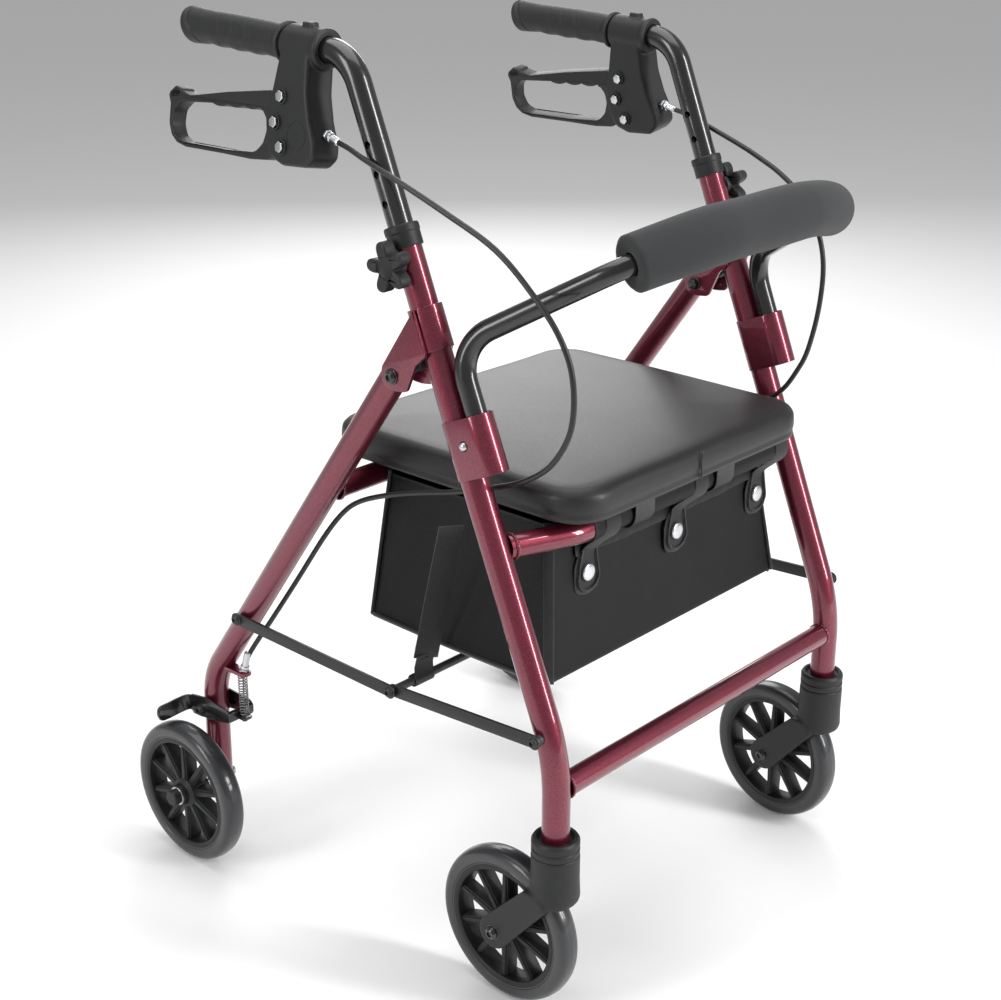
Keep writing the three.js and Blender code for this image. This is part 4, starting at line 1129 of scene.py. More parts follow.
@dataclass
class Seat:
    """The padded vinyl seat on its board."""

    shop: Workshop
    half: float = 176.0
    front: float = -166.0
    rear: float = 152.0
    corner: float = 40.0
    board_low: float = 457.4
    base: float = 461.7
    thick: float = 35.0
    crown: float = 3.4

    def outline(self, by: float, count: int = 176) -> list[Pair]:
        """The seat's rounded outline from above, this far inside its edge."""
        radius = max(6.0, self.corner - by)
        wide, low, high = self.half - by, self.front + by, self.rear - by
        centres = [(wide - radius, high - radius), (-wide + radius, high - radius),
                   (-wide + radius, low + radius), (wide - radius, low + radius)]
        dense: list[Pair] = []
        for i, (u, v) in enumerate(centres):
            for k in range(25):
                turn = math.pi / 2 * (i + k / 24)
                dense.append((u + radius * math.cos(turn), v + radius * math.sin(turn)))
        return evenly(dense, count)

    def cushion(self) -> Form:
        """The crowned pad: pulled in at its seam, puffed between its corners."""
        rings: list[list[Vector]] = []
        depth = self.thick - self.crown
        profile = [(60.0, 0.0), (14.0, 0.0), (5.0, 0.4), (1.6, 2.2), (0.5, 5.5), (1.5, 8.2), (0.35, 10.2),
                   (0.0, 14.0), (0.1, 18.0), (0.5, 21.8), (1.2, 24.4), (1.9, 25.6), (2.5, 26.5), (4.6, 28.7),
                   (8.0, 30.5), (13.0, 31.5), (22.0, 32.1), (40.0, 33.0), (58.0, 33.7), (80.0, 34.2),
                   (104.0, 34.6), (128.0, 34.8)]
        for by, height in profile:
            ring = []
            for u, v in self.outline(by):
                along = math.sin(u / self.half * 9.0) * 0.25 + math.sin(v / 37.0 + 1.3) * 0.3
                pull = 0.0
                if 5 < height < 31:
                    edge_u = 1 - abs(u) / self.half
                    edge_v = 1 - abs(v - (self.front + self.rear) / 2) / ((self.rear - self.front) / 2)
                    pull = 1.5 * min(1.0, 3 * max(0.0, min(max(edge_u, 0), 1) + min(max(edge_v, 0), 1)))
                keep = 1 - 0.6 * pull / self.half
                z = self.base + (height * depth / 31.6 if height < 31.6 else depth + height - 31.6)
                ring.append(Vector((u * keep, v * keep + 0.1 * along, z + (along if height > 26 else 0))))
            rings.append(ring)
        return Form().skin(rings)

    def board(self) -> Form:
        """The board under the pad, with two hooks round the front rail."""
        form = Form().plate([self.outline(15, 120)], self.board_low, self.board_low + 4,
                            Matrix.Identity(4), 0.8)
        y, z = -133.0, 443.0
        hook = [(y - 14.5, 458), (y - 14.5, z)]
        hook += [(y - 14.5 * math.cos(a), z - 14.5 * math.sin(a)) for a in
                 (math.pi * k / 16 for k in range(1, 16))]
        hook += [(y + 14.5, z), (y + 14.5, 458), (y + 12.9, 458), (y + 12.9, z)]
        hook += [(y + 12.9 * math.cos(a), z - 12.9 * math.sin(a)) for a in
                 (math.pi * k / 16 for k in range(1, 16))]
        hook += [(y - 12.9, z), (y - 12.9, 458)]
        for x in (-62.0, 62.0):
            form.plate([hook], x - 14, x + 14, across((0, 0, 0)), 0.5)
        return form

    def seam(self) -> Form:
        """The short upright seam in the middle of the front side."""
        form = Form()
        drop = [Vector((SEAM_X + 0.6 * math.sin(k * 0.9), self.front + 0.1 - 0.35 * math.sin(math.pi * k / 9),
                        self.base + 2 + 2.9 * k)) for k in range(10)]
        form.tube(drop, 0.75, sides=10)
        for k in range(6):
            low = Vector((SEAM_X - 2.2, self.front - 0.3, self.base + 4 + 3.6 * k))
            form.tube([low, low + Vector((0, 0, 2))], 0.35, sides=8)
        return form

    def build(self) -> None:
        """Makes the seat."""
        pad = self.shop.shape("seat_pad_vinyl", self.cushion(), PALETTE.vinyl, 70)
        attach(pad, "seat")
        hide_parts("seat_cushion")
        self.shop.piece("seat_board_moulded", self.board(), PALETTE.moulded, "seat", "seat_board")
        self.shop.piece("seat_seam_stitches", self.seam(), PALETTE.vinyl, "seat")
        log.info("seat: %d faces", len(pad.data.polygons))


@dataclass
class Bag:
    """The soft bag that hangs from the seat rails by snapped loops."""

    shop: Workshop
    top: tuple[float, float, float, float] = (-114.0, 85.0, 156.0, 451.0)
    bottom: tuple[float, float, float, float] = (-133.0, 94.0, 176.0, 308.0)
    wall: float = 1.6
    rows: int = 44
    loops_x: tuple[float, ...] = (-114.0, 18.0, 151.0)
    hem: Pair = (-128.0, 158.0)

    def level(self, share: float, by: float, count: int = 208) -> list[Vector]:
        """The bag's outline at a share of its height from the bottom, this far inside."""
        front, rear, half, z = (b + (t - b) * share for t, b in zip(self.top, self.bottom))
        front, rear, half = front + by, rear - by, half - by
        corners = rounded([(half, rear), (-half, rear), (-half, front), (half, front)], 7, 6)
        sag = math.sin(math.pi * min(1.0, share * 1.02))
        ring = []
        for u, v in evenly(corners, count):
            on_side = max(0.0, 1 - abs(abs(u) - half) / 9)
            across_side = math.cos(math.pi * (v - (front + rear) / 2) / (rear - front))
            across_end = math.cos(math.pi * u / (2 * half))
            u -= math.copysign(1, u) * on_side * sag * (6.5 * across_side
                                                        + 1.6 * math.sin(v / 13 + share * 5) * across_side)
            pull = (1 - on_side) * sag * across_end
            ripple = 1.1 * math.sin(u / 21 + 3 * share) + 0.7 * math.sin(u / 9.5 - 5 * share)
            v += math.copysign(1, v - (front + rear) / 2) * (-2.5 * pull + ripple * (1 - on_side) * sag * 0.8)
            drop = 0.0
            if share > 0.93:
                drop = 2.4 * abs(math.sin(math.pi * (u - self.loops_x[0]) / 132)) * (share - 0.93) / 0.07
            if share < 0.04:
                drop = 4.0 * across_end * max(0.0, across_side) ** 0.5 * (1 - share / 0.04)
            ring.append(Vector((u, v, z - drop)))
        return ring

    def shell(self) -> Form:
        """The open sagging shell, inside and out."""
        shares = [1.0 - k / self.rows for k in range(self.rows + 1)]
        outside = [self.level(s, 0.0) for s in shares]
        inside = [self.level(max(s, 0.012), self.wall) for s in shares]
        floor_in, floor_out = [], []
        for by in (14.0, 40.0, 80.0):
            floor_out.append([s - Vector((0, 0, 0.035 * by)) for s in self.level(0.0, by)])
            floor_in.append([s + Vector((0, 0, 1.8 - 0.035 * by)) for s in self.level(0.0, by)])
        rings = [*floor_in[::-1], *inside[::-1], *outside, *floor_out]
        return Form().skin(rings)

    def band(self, path: Sequence[Vector], wide: float, thick: float, up: Sequence[float]) -> Form:
        """A flat tape along a line."""
        a, b = wide / 2, thick / 2
        flat = rounded([(-a, -b), (a, -b), (a, b), (-a, b)], b * 0.9, 3)
        return Form().sweep(path, lambda t: flat, up)

    def binding(self) -> Form:
        """The tape that binds the upright corners and the lower edges."""
        form = Form()
        front, rear, half, z = self.bottom
        top_front, top_rear, top_half, top_z = self.top
        for sx in (-1, 1):
            for low_y, high_y, sy in ((front, top_front, -1), (rear, top_rear, 1)):
                path = []
                for k in range(25):
                    t = k / 24
                    x = sx * (half + (top_half - half) * t - 1.2)
                    y = low_y + (high_y - low_y) * t - sy * 1.2
                    wave = 0.5 * math.sin(k * 1.9 + sx) + 0.35 * math.sin(k * 0.8)
                    path.append(Vector((x + wave * 0.4, y + wave * 0.4, z + (top_z - z) * t)))
                form.join(self.band(path, 9.5, 3.4, (sx, sy, 0)))
            path = [Vector((sx * (half - 0.6), front + 3 + (rear - front - 6) * k / 24,
                            z - 0.6 - 1.6 * math.sin(math.pi * k / 24))) for k in range(25)]
            form.join(self.band(path, 9.0, 3.2, (sx, 0, -1)))
        return form

    def strap_loop(self, x: float) -> Form:
        """One loop, from its snap up over the seat rail and back down."""
        line = [Vector((x, -124.5, 374)), Vector((x, -122.9, 396)), Vector((x + 3, -122.5, 415)),
                Vector((x + 6, -134, 427.5)), Vector((x + 8, -141.8, 434.2)), Vector((x + 9, -145.4, 443)),
                Vector((x + 10, -141.8, 451.8)), Vector((x + 10, -133, 455.4)),
                Vector((x + 8, -124.2, 451.8)), Vector((x + 4, -120.5, 443)), Vector((x, -117, 424))]
        path = smooth_line(line, 6)
        last = len(path) - 1

        def section(t: float) -> list[Pair]:
            """A flat band, round and wide at the snap and narrower above it."""
            at = t * last / 6
            nose = 1.0 if at > 0.55 else math.sqrt(max(0.02, 1 - (1 - at / 0.55) ** 2))
            a = max((17.5 if at < 1.2 else 17.5 - 8.0 * min(1.0, (at - 1.2) / 0.9)) * nose, 1.0)
            return rounded([(-a, -0.7), (a, -0.7), (a, 0.7), (-a, 0.7)], 0.6, 3)

        return Form().sweep(path, section, (0, -1, 0.05))

    def rim(self, x: float) -> Form:
        """The raised stitched rim round a loop's snap."""
        path = []
        for k in range(25):
            turn = math.pi * k / 24
            path.append(Vector((x - 14.4 * math.cos(turn), -125.9, 391 - 13.4 * math.sin(turn))))
        path.insert(0, Vector((x - 6.6, -123.6, 417)))
        path.insert(1, Vector((x - 11.4, -124.8, 404)))
        path += [Vector((x + 13.0, -124.8, 404)), Vector((x + 12.0, -123.6, 417))]
        return Form().tube(path, 1.1, sides=10)

    def snap(self, x: float) -> Form:
        """A bright press stud."""
        dome = [(0, 1.5), (4.6, 1.4), (6.9, 1.1), (7.9, 0.6), (8.3, -0.2), (8.3, -1.8), (0, -1.8)]
        return Form().turned(dome, basis((1, 0, 0), (0, 0.06, 1), (0, -1, 0.06), (x, -126.0, 395)), 32)

    def sleeve(self) -> Form:
        """The bag's front hem, folded up round the front of the rail."""
        form, count, rings = Form(), 120, []
        y, z = -133.0, 443.0
        for k in range(count + 1):
            x = self.hem[0] + (self.hem[1] - self.hem[0]) * k / count
            edge = min(1.0, 4 * k / count, 4 * (count - k) / count)
            slack = 0.35 * math.sin(x / 8.5) + 0.25 * math.sin(x / 3.9)
            ring = []
            for r in (11.15, 11.75):
                arc = [math.radians(-38 + 152 * j / 16) for j in range(17)]
                line = [(y - r * math.cos(a), z - r * math.sin(a))
                        for a in arc]
                low = z - 30 - 3 * edge
                line += [(-119.4 + (11.15 - r) + slack * 0.5, z - 16), (-121.0 + (11.15 - r) + slack, low)]
                ring.append(line)
            loop = ring[0] + ring[1][::-1]
            rings.append([Vector((x, u, v)) for u, v in loop])
        return form.skin(rings)

    def build(self) -> None:
        """Makes the bag, its tapes, loops and studs."""
        shell = self.shop.piece("bag_shell", self.shell(), PALETTE.cloth, "front_frame", "bag", sharp=75)
        tape = self.shop.piece("bag_binding_tape", self.binding(), PALETTE.tape, "front_frame", sharp=60)
        for piece in (shell, tape):
            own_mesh(piece)
        self.shop.piece("bag_front_hem", self.sleeve(), PALETTE.cloth, "front_frame", sharp=75)
        for i, x in enumerate(self.loops_x):
            loop = self.strap_loop(x).join(self.rim(x))
            self.shop.piece(f"bag_loop_{i + 1}", loop, PALETTE.tape, "front_frame", sharp=60)
            self.shop.piece(f"bag_stud_{i + 1}", self.snap(x), PALETTE.steel, "front_frame")


@dataclass
class PullStrap:
    """The webbing that is pulled up to fold the walker."""

    shop: Workshop
    x: float = -197.0
    low: Pair = (5.0, 277.0)
    high: Pair = (-36.0, 440.0)
    wide: float = 24.0

    def band(self, line: Sequence[Vector]) -> Form:
        """A thin band of webbing along a line."""
        a, b = self.wide / 2, 0.8
        flat = rounded([(-a, -b), (a, -b), (a, b), (-a, b)], 0.6, 3)
        return Form().sweep(line, lambda t: flat, (0, -0.3, 1))

    def loop(self) -> Form:
        """The sewn end of the strap, round the spreader rod."""
        y, z = self.low
        line = []
        for k in range(13):
            turn = math.radians(20 + 300 * k / 12)
            line.append(Vector((self.x, y + 5.4 * math.sin(turn), z + 5.4 * math.cos(turn))))
        line += [Vector((self.x, y - 3.2, z + 14)), Vector((self.x, y - 6.5, z + 26))]
        form = self.band(line)
        for k in range(9):
            x = self.x - 9 + 18 * k / 8
            form.tube([Vector((x, y - 7.6, z + 22)), Vector((x + 1.6, y - 7.7, z + 22.4))], 0.5, sides=6)
        return form

    def build(self) -> None:
        """Makes the strap's hanging length and the loop that follows the spreader rod."""
        y, z = self.low
        top_y, top_z = self.high
        line = []
        for k in range(13):
            t = k / 12
            bow = 2.2 * math.sin(math.pi * t)
            line.append(Vector((self.x + bow, y - 6 + (top_y - y + 6) * t + bow,
                                z + 22 + (top_z - z - 22) * t)))
        self.shop.piece("pull_strap_loop", self.loop(), PALETTE.webbing, "front_links", sharp=60)
        strap = self.shop.piece("pull_strap_webbing", self.band(line), PALETTE.webbing, "front_frame",
                                "pull_strap", sharp=60)
        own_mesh(strap)


# ---------------------------------------------------------------- spreader and brakes


@dataclass
class Spreader(Pairs):
    """The two-part side bars and the rod between them."""

    rear: Pair = (221.0, 282.0)
    mid: Pair = (5.0, 277.0)
    front: Pair = (-167.5, 287.5)
    front_x: float = -235.5
    rear_x: float = -238.8
    thick: float = 3.0
    half: float = 6.0

    def bar(self, a: Pair, b: Pair, x: float) -> Form:
        """One flat bar with round ends."""
        return Form().plate([slot_outline(a, b, self.half)], x, x + self.thick, across((0, 0, 0)), 0.35)

    def bolt(self, x: float, at: Pair) -> Form:
        """A washer and a domed bolt head on a bar's outer face."""
        form = washer(Form(), outward(x, *at), 6.6, 2.5, 1.0)
        return button_head(form, outward(x - 1.0, *at), 5.0, 3.0)

    def build(self) -> None:
        """Makes the bars, their bolts and the rod."""
        front = self.bar(self.front, self.mid, self.front_x).join(self.bolt(self.front_x, self.front))
        spacer = [Vector((self.front_x + 2, *self.front)), Vector((-LEG_X - LEG_R + 1.0, *self.front))]
        front.tube(spacer, 5, sides=24)
        rear = self.bar(self.rear, self.mid, self.rear_x)
        rear.join(self.bolt(self.rear_x, self.rear)).join(self.bolt(self.rear_x, self.mid))
        self.both("front_link_bar", front, PALETTE.satin, "front_links", "front_link")
        self.both("rear_link_bar", rear, PALETTE.satin, "rear_links", "rear_link")
        reach = -self.front_x - self.thick
        rod = Form().tube([Vector((-reach, *self.mid)), Vector((reach, *self.mid))], 4, sides=28)
        self.shop.piece("spreader_rod_black", rod, PALETTE.satin, "front_links", "spreader_rod")


@dataclass
class RearBrake(Pairs):
    """The brake arm on each rear leg, with its spring and cable end."""

    pivot: Pair = (288.0, 157.0)
    foot_x: float = -224.0
    spring: tuple[float, float, float, float] = (235.4, 163.6, 210.6, 4.5)
    turns: int = 15

    def arm(self) -> Form:
        """The bent strip: hook at the spring, cheeks past the leg, shoe over the tyre."""
        outer = self.foot_x - LEG_R - 0.9
        inner = self.foot_x + LEG_R + 1.6
        side = rounded([(300, 149), (306, 156), (304, 170), (281, 174), (246, 172), (241, 168), (241, 158),
                        (252, 155), (288, 149.5)], 4, 5)
        form = Form().plate([side], outer - 2.5, outer, across((0, 0, 0)), 0.5)
        form.plate([side], inner, inner + 2.5, across((0, 0, 0)), 0.5)
        web = rounded([(241, 158), (243.5, 157), (243.5, 171), (241, 168)], 1)
        form.plate([web], outer - 1, inner + 1, across((0, 0, 0)), 0.3)
        hook = rounded([(-6, 229), (6, 229), (6, 242), (-6, 242)], [4, 4, 1, 1], 6)
        place = basis((1, 0, 0), (0, 1, 0), (0, 0, 1), (self.foot_x, 0, 0))
        form.plate([hook], 160.4, 163.0, place, 0.4)
        path = smooth_line([Vector((outer - 1.3, 284, 163)), Vector((outer - 1.3, 298, 161)),
                            Vector((outer - 2.6, 307, 160)), Vector((outer - 12, 310.6, 158.4)),
                            Vector((-262, 310.8, 157.6)), Vector((-277.5, 310.8, 157.4))], 8)
        last = len(path) - 1

        def section(t: float) -> list[Pair]:
            """A strip on edge, with a round end."""
            left = (1 - t) * last * 1.9
            tall = 8.2 if left > 8 else math.sqrt(max(0.6, 67 - (8 - left) ** 2))
            return rounded([(-1.25, -tall), (1.25, -tall), (1.25, tall), (-1.25, tall)], 0.5, 3)

        form.sweep(path, section, (0, 0, 1))
        return form

    def bolt(self) -> Form:
        """The arm's pivot bolt."""
        outer = self.foot_x - LEG_R - 3.4
        form = washer(Form(), outward(outer, *self.pivot), 6.2, 2.6, 0.9)
        button_head(form, outward(outer - 0.9, *self.pivot), 4.8, 2.9)
        inner = across((self.foot_x + LEG_R + 4.1, *self.pivot))
        return form.plate([circle(4.6, 6)], 0, 3.2, inner, 0.4)

    def coil(self) -> Form:
        """The return spring: a helix with closed ends."""
        y, low, high, r = self.spring
        points, per = [], 18
        count = self.turns * per
        for k in range(count + 1):
            t = k / count
            lift = t + 0.018 * math.sin(TAU * t)
            turn = TAU * self.turns * t
            points.append(Vector((self.foot_x + r * math.cos(turn), y + r * math.sin(turn),
                                  low + 0.8 + (high - low - 1.6) * lift)))
        return Form().tube(points, 0.62, sides=8)

    def wire(self) -> Form:
        """The inner wire and its end nipple."""
        y, low, high, _ = self.spring
        form = Form().tube([Vector((self.foot_x, y, low - 6)), Vector((self.foot_x, y - 1, high + 4))], 0.8,
                           sides=10)
        place = Matrix.Translation((self.foot_x, y, low - 6.5))
        return form.turned(rounded([(0, 0), (2.7, 0), (2.7, 3.4), (0, 3.4)], [0, 0.6, 0.6, 0], 3), place, 20)

    def build(self) -> None:
        """Makes both rear brakes."""
        self.both("brake_arm_strip", self.arm(), PALETTE.black, "{side}_brake", "brake_arm")
        self.both("brake_arm_bolt", self.bolt(), PALETTE.satin, "{side}_brake")
        coils = self.both("brake_spring_coil", self.coil(), PALETTE.spring, "rear_frame", "brake_spring")
        wires = self.both("brake_inner_wire", self.wire(), PALETTE.spring, "rear_frame")
        for piece in (*coils, *wires):
            side = piece.name.split("_")[0]
            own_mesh(piece)


@dataclass
class Cables(Pairs):
    """The brake cables from the levers to the rear brakes, with their adjusters."""

    radius: float = 2.5
    split: int = 13
    bows: tuple[tuple[Triple, ...], tuple[Triple, ...]] = (
        ((-228.5, 64, 770.5), (-230, 48, 767), (-231, 28, 760), (-230, -8, 747.5), (-224, -56, 727),
         (-219, -108, 703), (-217, -148, 671), (-216, -174, 642), (-215.5, -187, 611), (-214, -185, 569),
         (-211, -163, 533), (-206, -130, 509), (-198, -88, 490), (-196, -40, 473)),
        ((-228.5, 54.5, 747), (-230, 38, 743.5), (-231, 18, 736.5), (-230, -30, 720), (-226.5, -57, 710.5),
         (-223, -85, 698.5), (-219, -114, 679.5), (-217, -133, 654), (-216, -143, 624), (-215, -144, 589),
         (-211, -140, 549), (-206, -131, 516), (-201, -104, 480), (-196, -46, 465)),
    )
    tail: tuple[Triple, ...] = (
        (-196, 10, 459), (-196, 50, 446), (-196, 84, 431), (-197, 106, 414), (-200, 130, 384),
        (-202, 168, 330), (-206, 204, 278), (-216, 222, 246), (-223, 227, 232),
    )

    def line(self, side: Side) -> list[Vector]:
        """The cable's route, drawn as if on the right; the lower left handle leaves more slack."""
        bow = self.bows[0] if side is Side.RIGHT else self.bows[1]
        return [Vector(spot) for spot in (*bow, *self.tail)]

    def adjuster(self, at: Vector, towards: Vector, long: float = 15.0) -> Form:
        """The stepped barrel adjuster with its lock nut."""
        turn = (towards - at).to_track_quat("Z", "Y").to_matrix().to_4x4()
        place = Matrix.Translation(at) @ turn
        body = rounded([(0, 0), (3.0, 0), (3.0, 3.2), (4.4, 3.4), (4.4, 7.0), (3.4, 7.6), (3.4, long - 2),
                        (3.0, long), (0, long)], [0, 0.2, 0.2, 0.7, 0.7, 0.3, 0.5, 0.5, 0], 3)
        form = Form().turned(body, place, 24)
        return form.plate([circle(4.9, 6)], 0.4, 3.0, place, 0.4)

    def build(self) -> None:
        """Makes each cable in two lengths, with an adjuster at each end; the lengths are not put on any body.
        """
        for side in Side:
            drop = 0.0 if side is Side.RIGHT else NOTCH
            spots = self.line(side)
            smooth = smooth_line(spots, 7)
            cut = self.split * 7
            seat = leaned() @ Vector((0, 76.5, -71.5)) + LEG_DOWN * drop
            ends = [(seat, spots[0]), (Vector((-224, 232, 215.5)), spots[-1] + Vector((0, 0, 3)))]
            forms = {
                "upper_cover": Form().tube(smooth[:cut + 1], self.radius, sides=18),
                "lower_cover": Form().tube(smooth[cut:], self.radius, sides=18),
                "upper_adjuster": self.adjuster(ends[0][0], ends[0][1], (ends[0][1] - ends[0][0]).length + 4),
                "lower_adjuster": self.adjuster(ends[1][0], ends[1][1], (ends[1][1] - ends[1][0]).length + 3),
            }
            made = {}
            for name, form in forms.items():
                own = form if side is Side.RIGHT else form.mirrored()
                finish = PALETTE.cable if "cover" in name else PALETTE.steel
                made[name] = self.shop.shape(f"{side.word}_cable_{name}", own, finish)
            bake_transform(made["upper_cover"])
            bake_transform(made["lower_cover"])
            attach(made["upper_adjuster"], f"{side.word}_handle")
            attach(made["lower_adjuster"], "rear_frame")
            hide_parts(f"{side.word}_brake_cable")


# ---------------------------------------------------------------- handles


@dataclass
class Handles(Pairs):
    """The sliding handle tubes with grips, brake housings, levers and star knobs."""

    grip_end: float = 256.0
    corner_y: float = 56.6
    knob_down: float = 31.5
    pivot: Pair = (124.0, -67.0)
    bolts: tuple[Pair, ...] = ((118.4, -45.0), (124.0, -67.0), (114.0, -87.0))
    half: float = 15.5
    slot: float = 8.4

    def tube(self) -> Form:
        """The bent handle tube."""
        def at(y: float) -> Vector:
            """The point of the grip's axis at this y."""
            return Vector((-LEG_X, y, GRIP_Z + GRIP_SLOPE * (y - GRIP_Y)))

        route = bent([on_leg(95), at(self.corner_y), at(self.grip_end)], 40, 20)
        return Form().tube(route, HANDLE_R, HANDLE_R - WALL, 44)

    def holes(self, sign: int, drop: float) -> Form:
        """The cutters of the adjustment holes."""
        form = Form()
        for notch in range(-2, 5):
            spot = on_leg(self.knob_down - notch * NOTCH) + LEG_DOWN * drop
            x = sign * LEG_X
            form.tube([Vector((x - 20, spot.y, spot.z)), Vector((x + 20, spot.y, spot.z))], 3.3, sides=20)
        return form

    def grip(self) -> Form:
        """The rubber grip: flange, finger waves, thumb crescents and a slanted rear lip."""
        rings: list[list[Vector]] = []
        sides, place, long = 64, along_grip(), 130.0
        spots = [0.5, 0.8, 1.6, 2.6, 3.8, 4.8, 5.6, 6.4, 8.0] + [9 + 1.25 * k for k in range(98)]
        spots = [s for s in spots if s < long] + [long - 0.6, long]
        for s in spots:
            ring = []
            for k in range(sides):
                a = TAU * k / sides
                down, out = math.sin(a), -math.cos(a)
                flange = 18.0 if s < 3.8 else 18.0 - 2.6 * min(1.0, (s - 3.8) / 2.2)
                if s < 1.6:
                    flange -= 0.9 * (1 - (s - 0.5) / 1.1) ** 2
                body = 14.7 + 0.5 * math.cos((s - 60) / 26) if s > 8 else 15.3
                flare = 1.9 * max(0.0, (s - 96) / 34) ** 1.7
                r = flange if s < 6.4 else body + flare
                if 14 < s < 112:
                    r -= 0.9 * max(0.0, down) ** 1.5 * (0.5 - 0.5 * math.cos(TAU * (s - 14) / 24.5))
                for i in range(3):
                    centre = 42 + 18 * i + 7.5 * down * down
                    r -= 0.45 * math.exp(-((s - centre) / 0.9) ** 2) * max(0.0, abs(out)) ** 0.7
                    dimple = math.exp(-((s - 36 - 18 * i) / 4.5) ** 2) * max(0.0, abs(out)) ** 8
                    r -= 0.6 * dimple
                lip = 119 - 7 * down
                r -= 1.5 * math.exp(-((s - lip) / 1.2) ** 2) * (0.35 + 0.65 * max(0.0, abs(out)))
                if s > long - 2.4:
                    r -= 0.9 * ((s - long + 2.4) / 2.4) ** 2
                lean = 4.0 * down * max(0.0, (s - 100) / 30)
                ring.append(place @ Vector((r * math.cos(a), r * math.sin(a), s - lean)))
            rings.append(ring)
        inner = [[place @ Vector((r * math.cos(TAU * k / sides), r * math.sin(TAU * k / sides),
                                  s - 4.0 * math.sin(TAU * k / sides) * min(1.0, r / 15)))
                  for k in range(sides)]
                 for r, s in ((12.5, long - 0.4), (11.6, long - 4), (0.01, long - 4.4))]
        front = [[place @ Vector((r * math.cos(TAU * k / sides), r * math.sin(TAU * k / sides), 0.5))
                  for k in range(sides)] for r in (0.01, 11.4)]
        return Form().skin([*front, *rings, *inner])

    def housing(self) -> Form:
        """The clamp and the two-cheeked brake body, as one moulding."""
        axis = along_grip()
        barrel = rounded([(0, -46.5), (16.6, -46.5), (16.6, -1.0), (0, -1.0)], [0, 1.6, 1.6, 0], 5)
        form = Form().turned(barrel, axis, 56)
        ring = rounded([(0, -46.9), (17.4, -46.9), (17.4, -41), (0, -41)], [0, 1.6, 1.6, 0], 4)
        form.turned(ring, axis, 56)
        outline = rounded([(91, 0), (89, -40), (83, -62), (75, -80), (74, -92), (84, -101), (113, -102.5),
                           (128, -97), (135, -85), (138, -70), (138, -58), (133, -40), (125, 0)],
                          [1, 30, 20, 10, 10, 10, 14, 10, 12, 12, 14, 30, 1], 6)
        form.plate([outline], -self.half, self.half, leaned() @ across((0, 0, 0)), 3.2, 5)
        plug = rounded([(-4.6, -6), (4.6, -6), (4.6, 6), (-4.6, 6)], 1.5, 4)
        base = basis((1, 0, 0), GRIP_ALONG, -Vector((0, GRIP_SLOPE, -1)).normalized(),
                     axis @ Vector((0, 0, -25)))
        return form.plate([plug], 12, 20.4, base, 0.8)

    def cut_housing(self, sign: int, drop: float) -> Form:
        """The cutters of the lever's slot and the round witness line of the housing."""
        shift = Matrix.Translation(LEG_DOWN * drop)
        place = leaned() @ across((0, 0, 0))
        slot = rounded([(106, -60), (109, -48), (118, -38), (150, -32), (150, -110), (124, -106), (112, -94),
                        (106, -76)], 4, 5)
        form = Form().plate([slot], -self.slot, self.slot, place, 0.6)
        face = leaned() @ outward(-self.half - 0.01, 97, -76)
        form.turned([(11.3, -0.35), (11.8, -0.35), (11.8, 0.6), (11.3, 0.6)], face, 56, looped=True)
        form.placed(shift)
        return form if sign < 0 else form.mirrored()

    def bore(self, sign: int, drop: float) -> Form:
        """The cutter of the clamp's bore."""
        bar = [(0, -64), (HANDLE_R + 0.6, -64), (HANDLE_R + 0.6, 12), (0, 12)]
        form = Form().turned(bar, along_grip(), 44)
        form.placed(Matrix.Translation(LEG_DOWN * drop))
        return form if sign < 0 else form.mirrored()

    def collars(self) -> Form:
        """The raised round collars under the three bolts, on both cheeks."""
        form = Form()
        for at in self.bolts:
            for place in (outward(-self.half, *at), across((self.half, *at))):
                ring = rounded([(0, -1), (6.9, -1), (6.6, 2.2), (5.4, 2.2), (5.2, 0.8), (0, 0.8)],
                               [0, 0, 0.6, 0.3, 0.1, 0], 4)
                form.turned(ring, leaned() @ place, 32)
        return form

    def bolt_heads(self) -> Form:
        """The bright hexagon bolts of the housing."""
        form = Form()
        for at in self.bolts:
            for place in (outward(-self.half, *at), across((self.half, *at))):
                form.plate([circle(4.9, 6, start=0.3)], 0.4, 4.1, leaned() @ place, 0.6)
        return form

    def lever(self) -> Form:
        """The loop lever: scalloped top bar, horn, round end and thin lower bar."""
        outer = [(114, -74), (113, -64), (117, -54), (128, -45), (142, -41.5), (199, -48.5), (249.5, -56.5),
                 (262, -53.6), (272, -51.5), (281, -58), (277.5, -66), (277.5, -84), (273, -94), (265, -99.8),
                 (252, -102.5), (200, -102.2), (162, -102.6), (138, -100.6), (124, -90)]
        radii = [6, 8, 8, 8, 14, 60, 10, 6, 4, 3.4, 3, 14, 8, 8, 14, 40, 30, 12, 8]
        inner = [(245, -61.8), (262, -63), (271.6, -71), (273, -84), (268, -94), (256, -98.9), (200, -98.6),
                 (157, -96), (147.5, -87), (144, -76), (145.5, -66), (151, -59.5)]
        top: list[Pair] = []
        start, end, bumps, per = 155.0, 219.0, 3, 12
        for k in range(bumps * per + 1):
            t = k / (bumps * per)
            y = start + (end - start) * t
            top.append((y, -57.4 - 0.04 * (y - start) - 2.4 * abs(math.sin(math.pi * bumps * t)) ** 0.8))
        shape = rounded(inner, [20, 10, 10, 12, 10, 12, 60, 16, 10, 10, 8, 4], 6) + top
        place = leaned() @ across((0, 0, 0))
        form = Form().plate([rounded(outer, radii, 7), shape], -8, 8, place, 1.0, 3)
        horn = rounded([(262, -52), (272, -49.8), (281.6, -57), (276, -62), (264, -60)], 3, 5)
        return form.plate([horn], -8, 8, place, 1.8, 4)

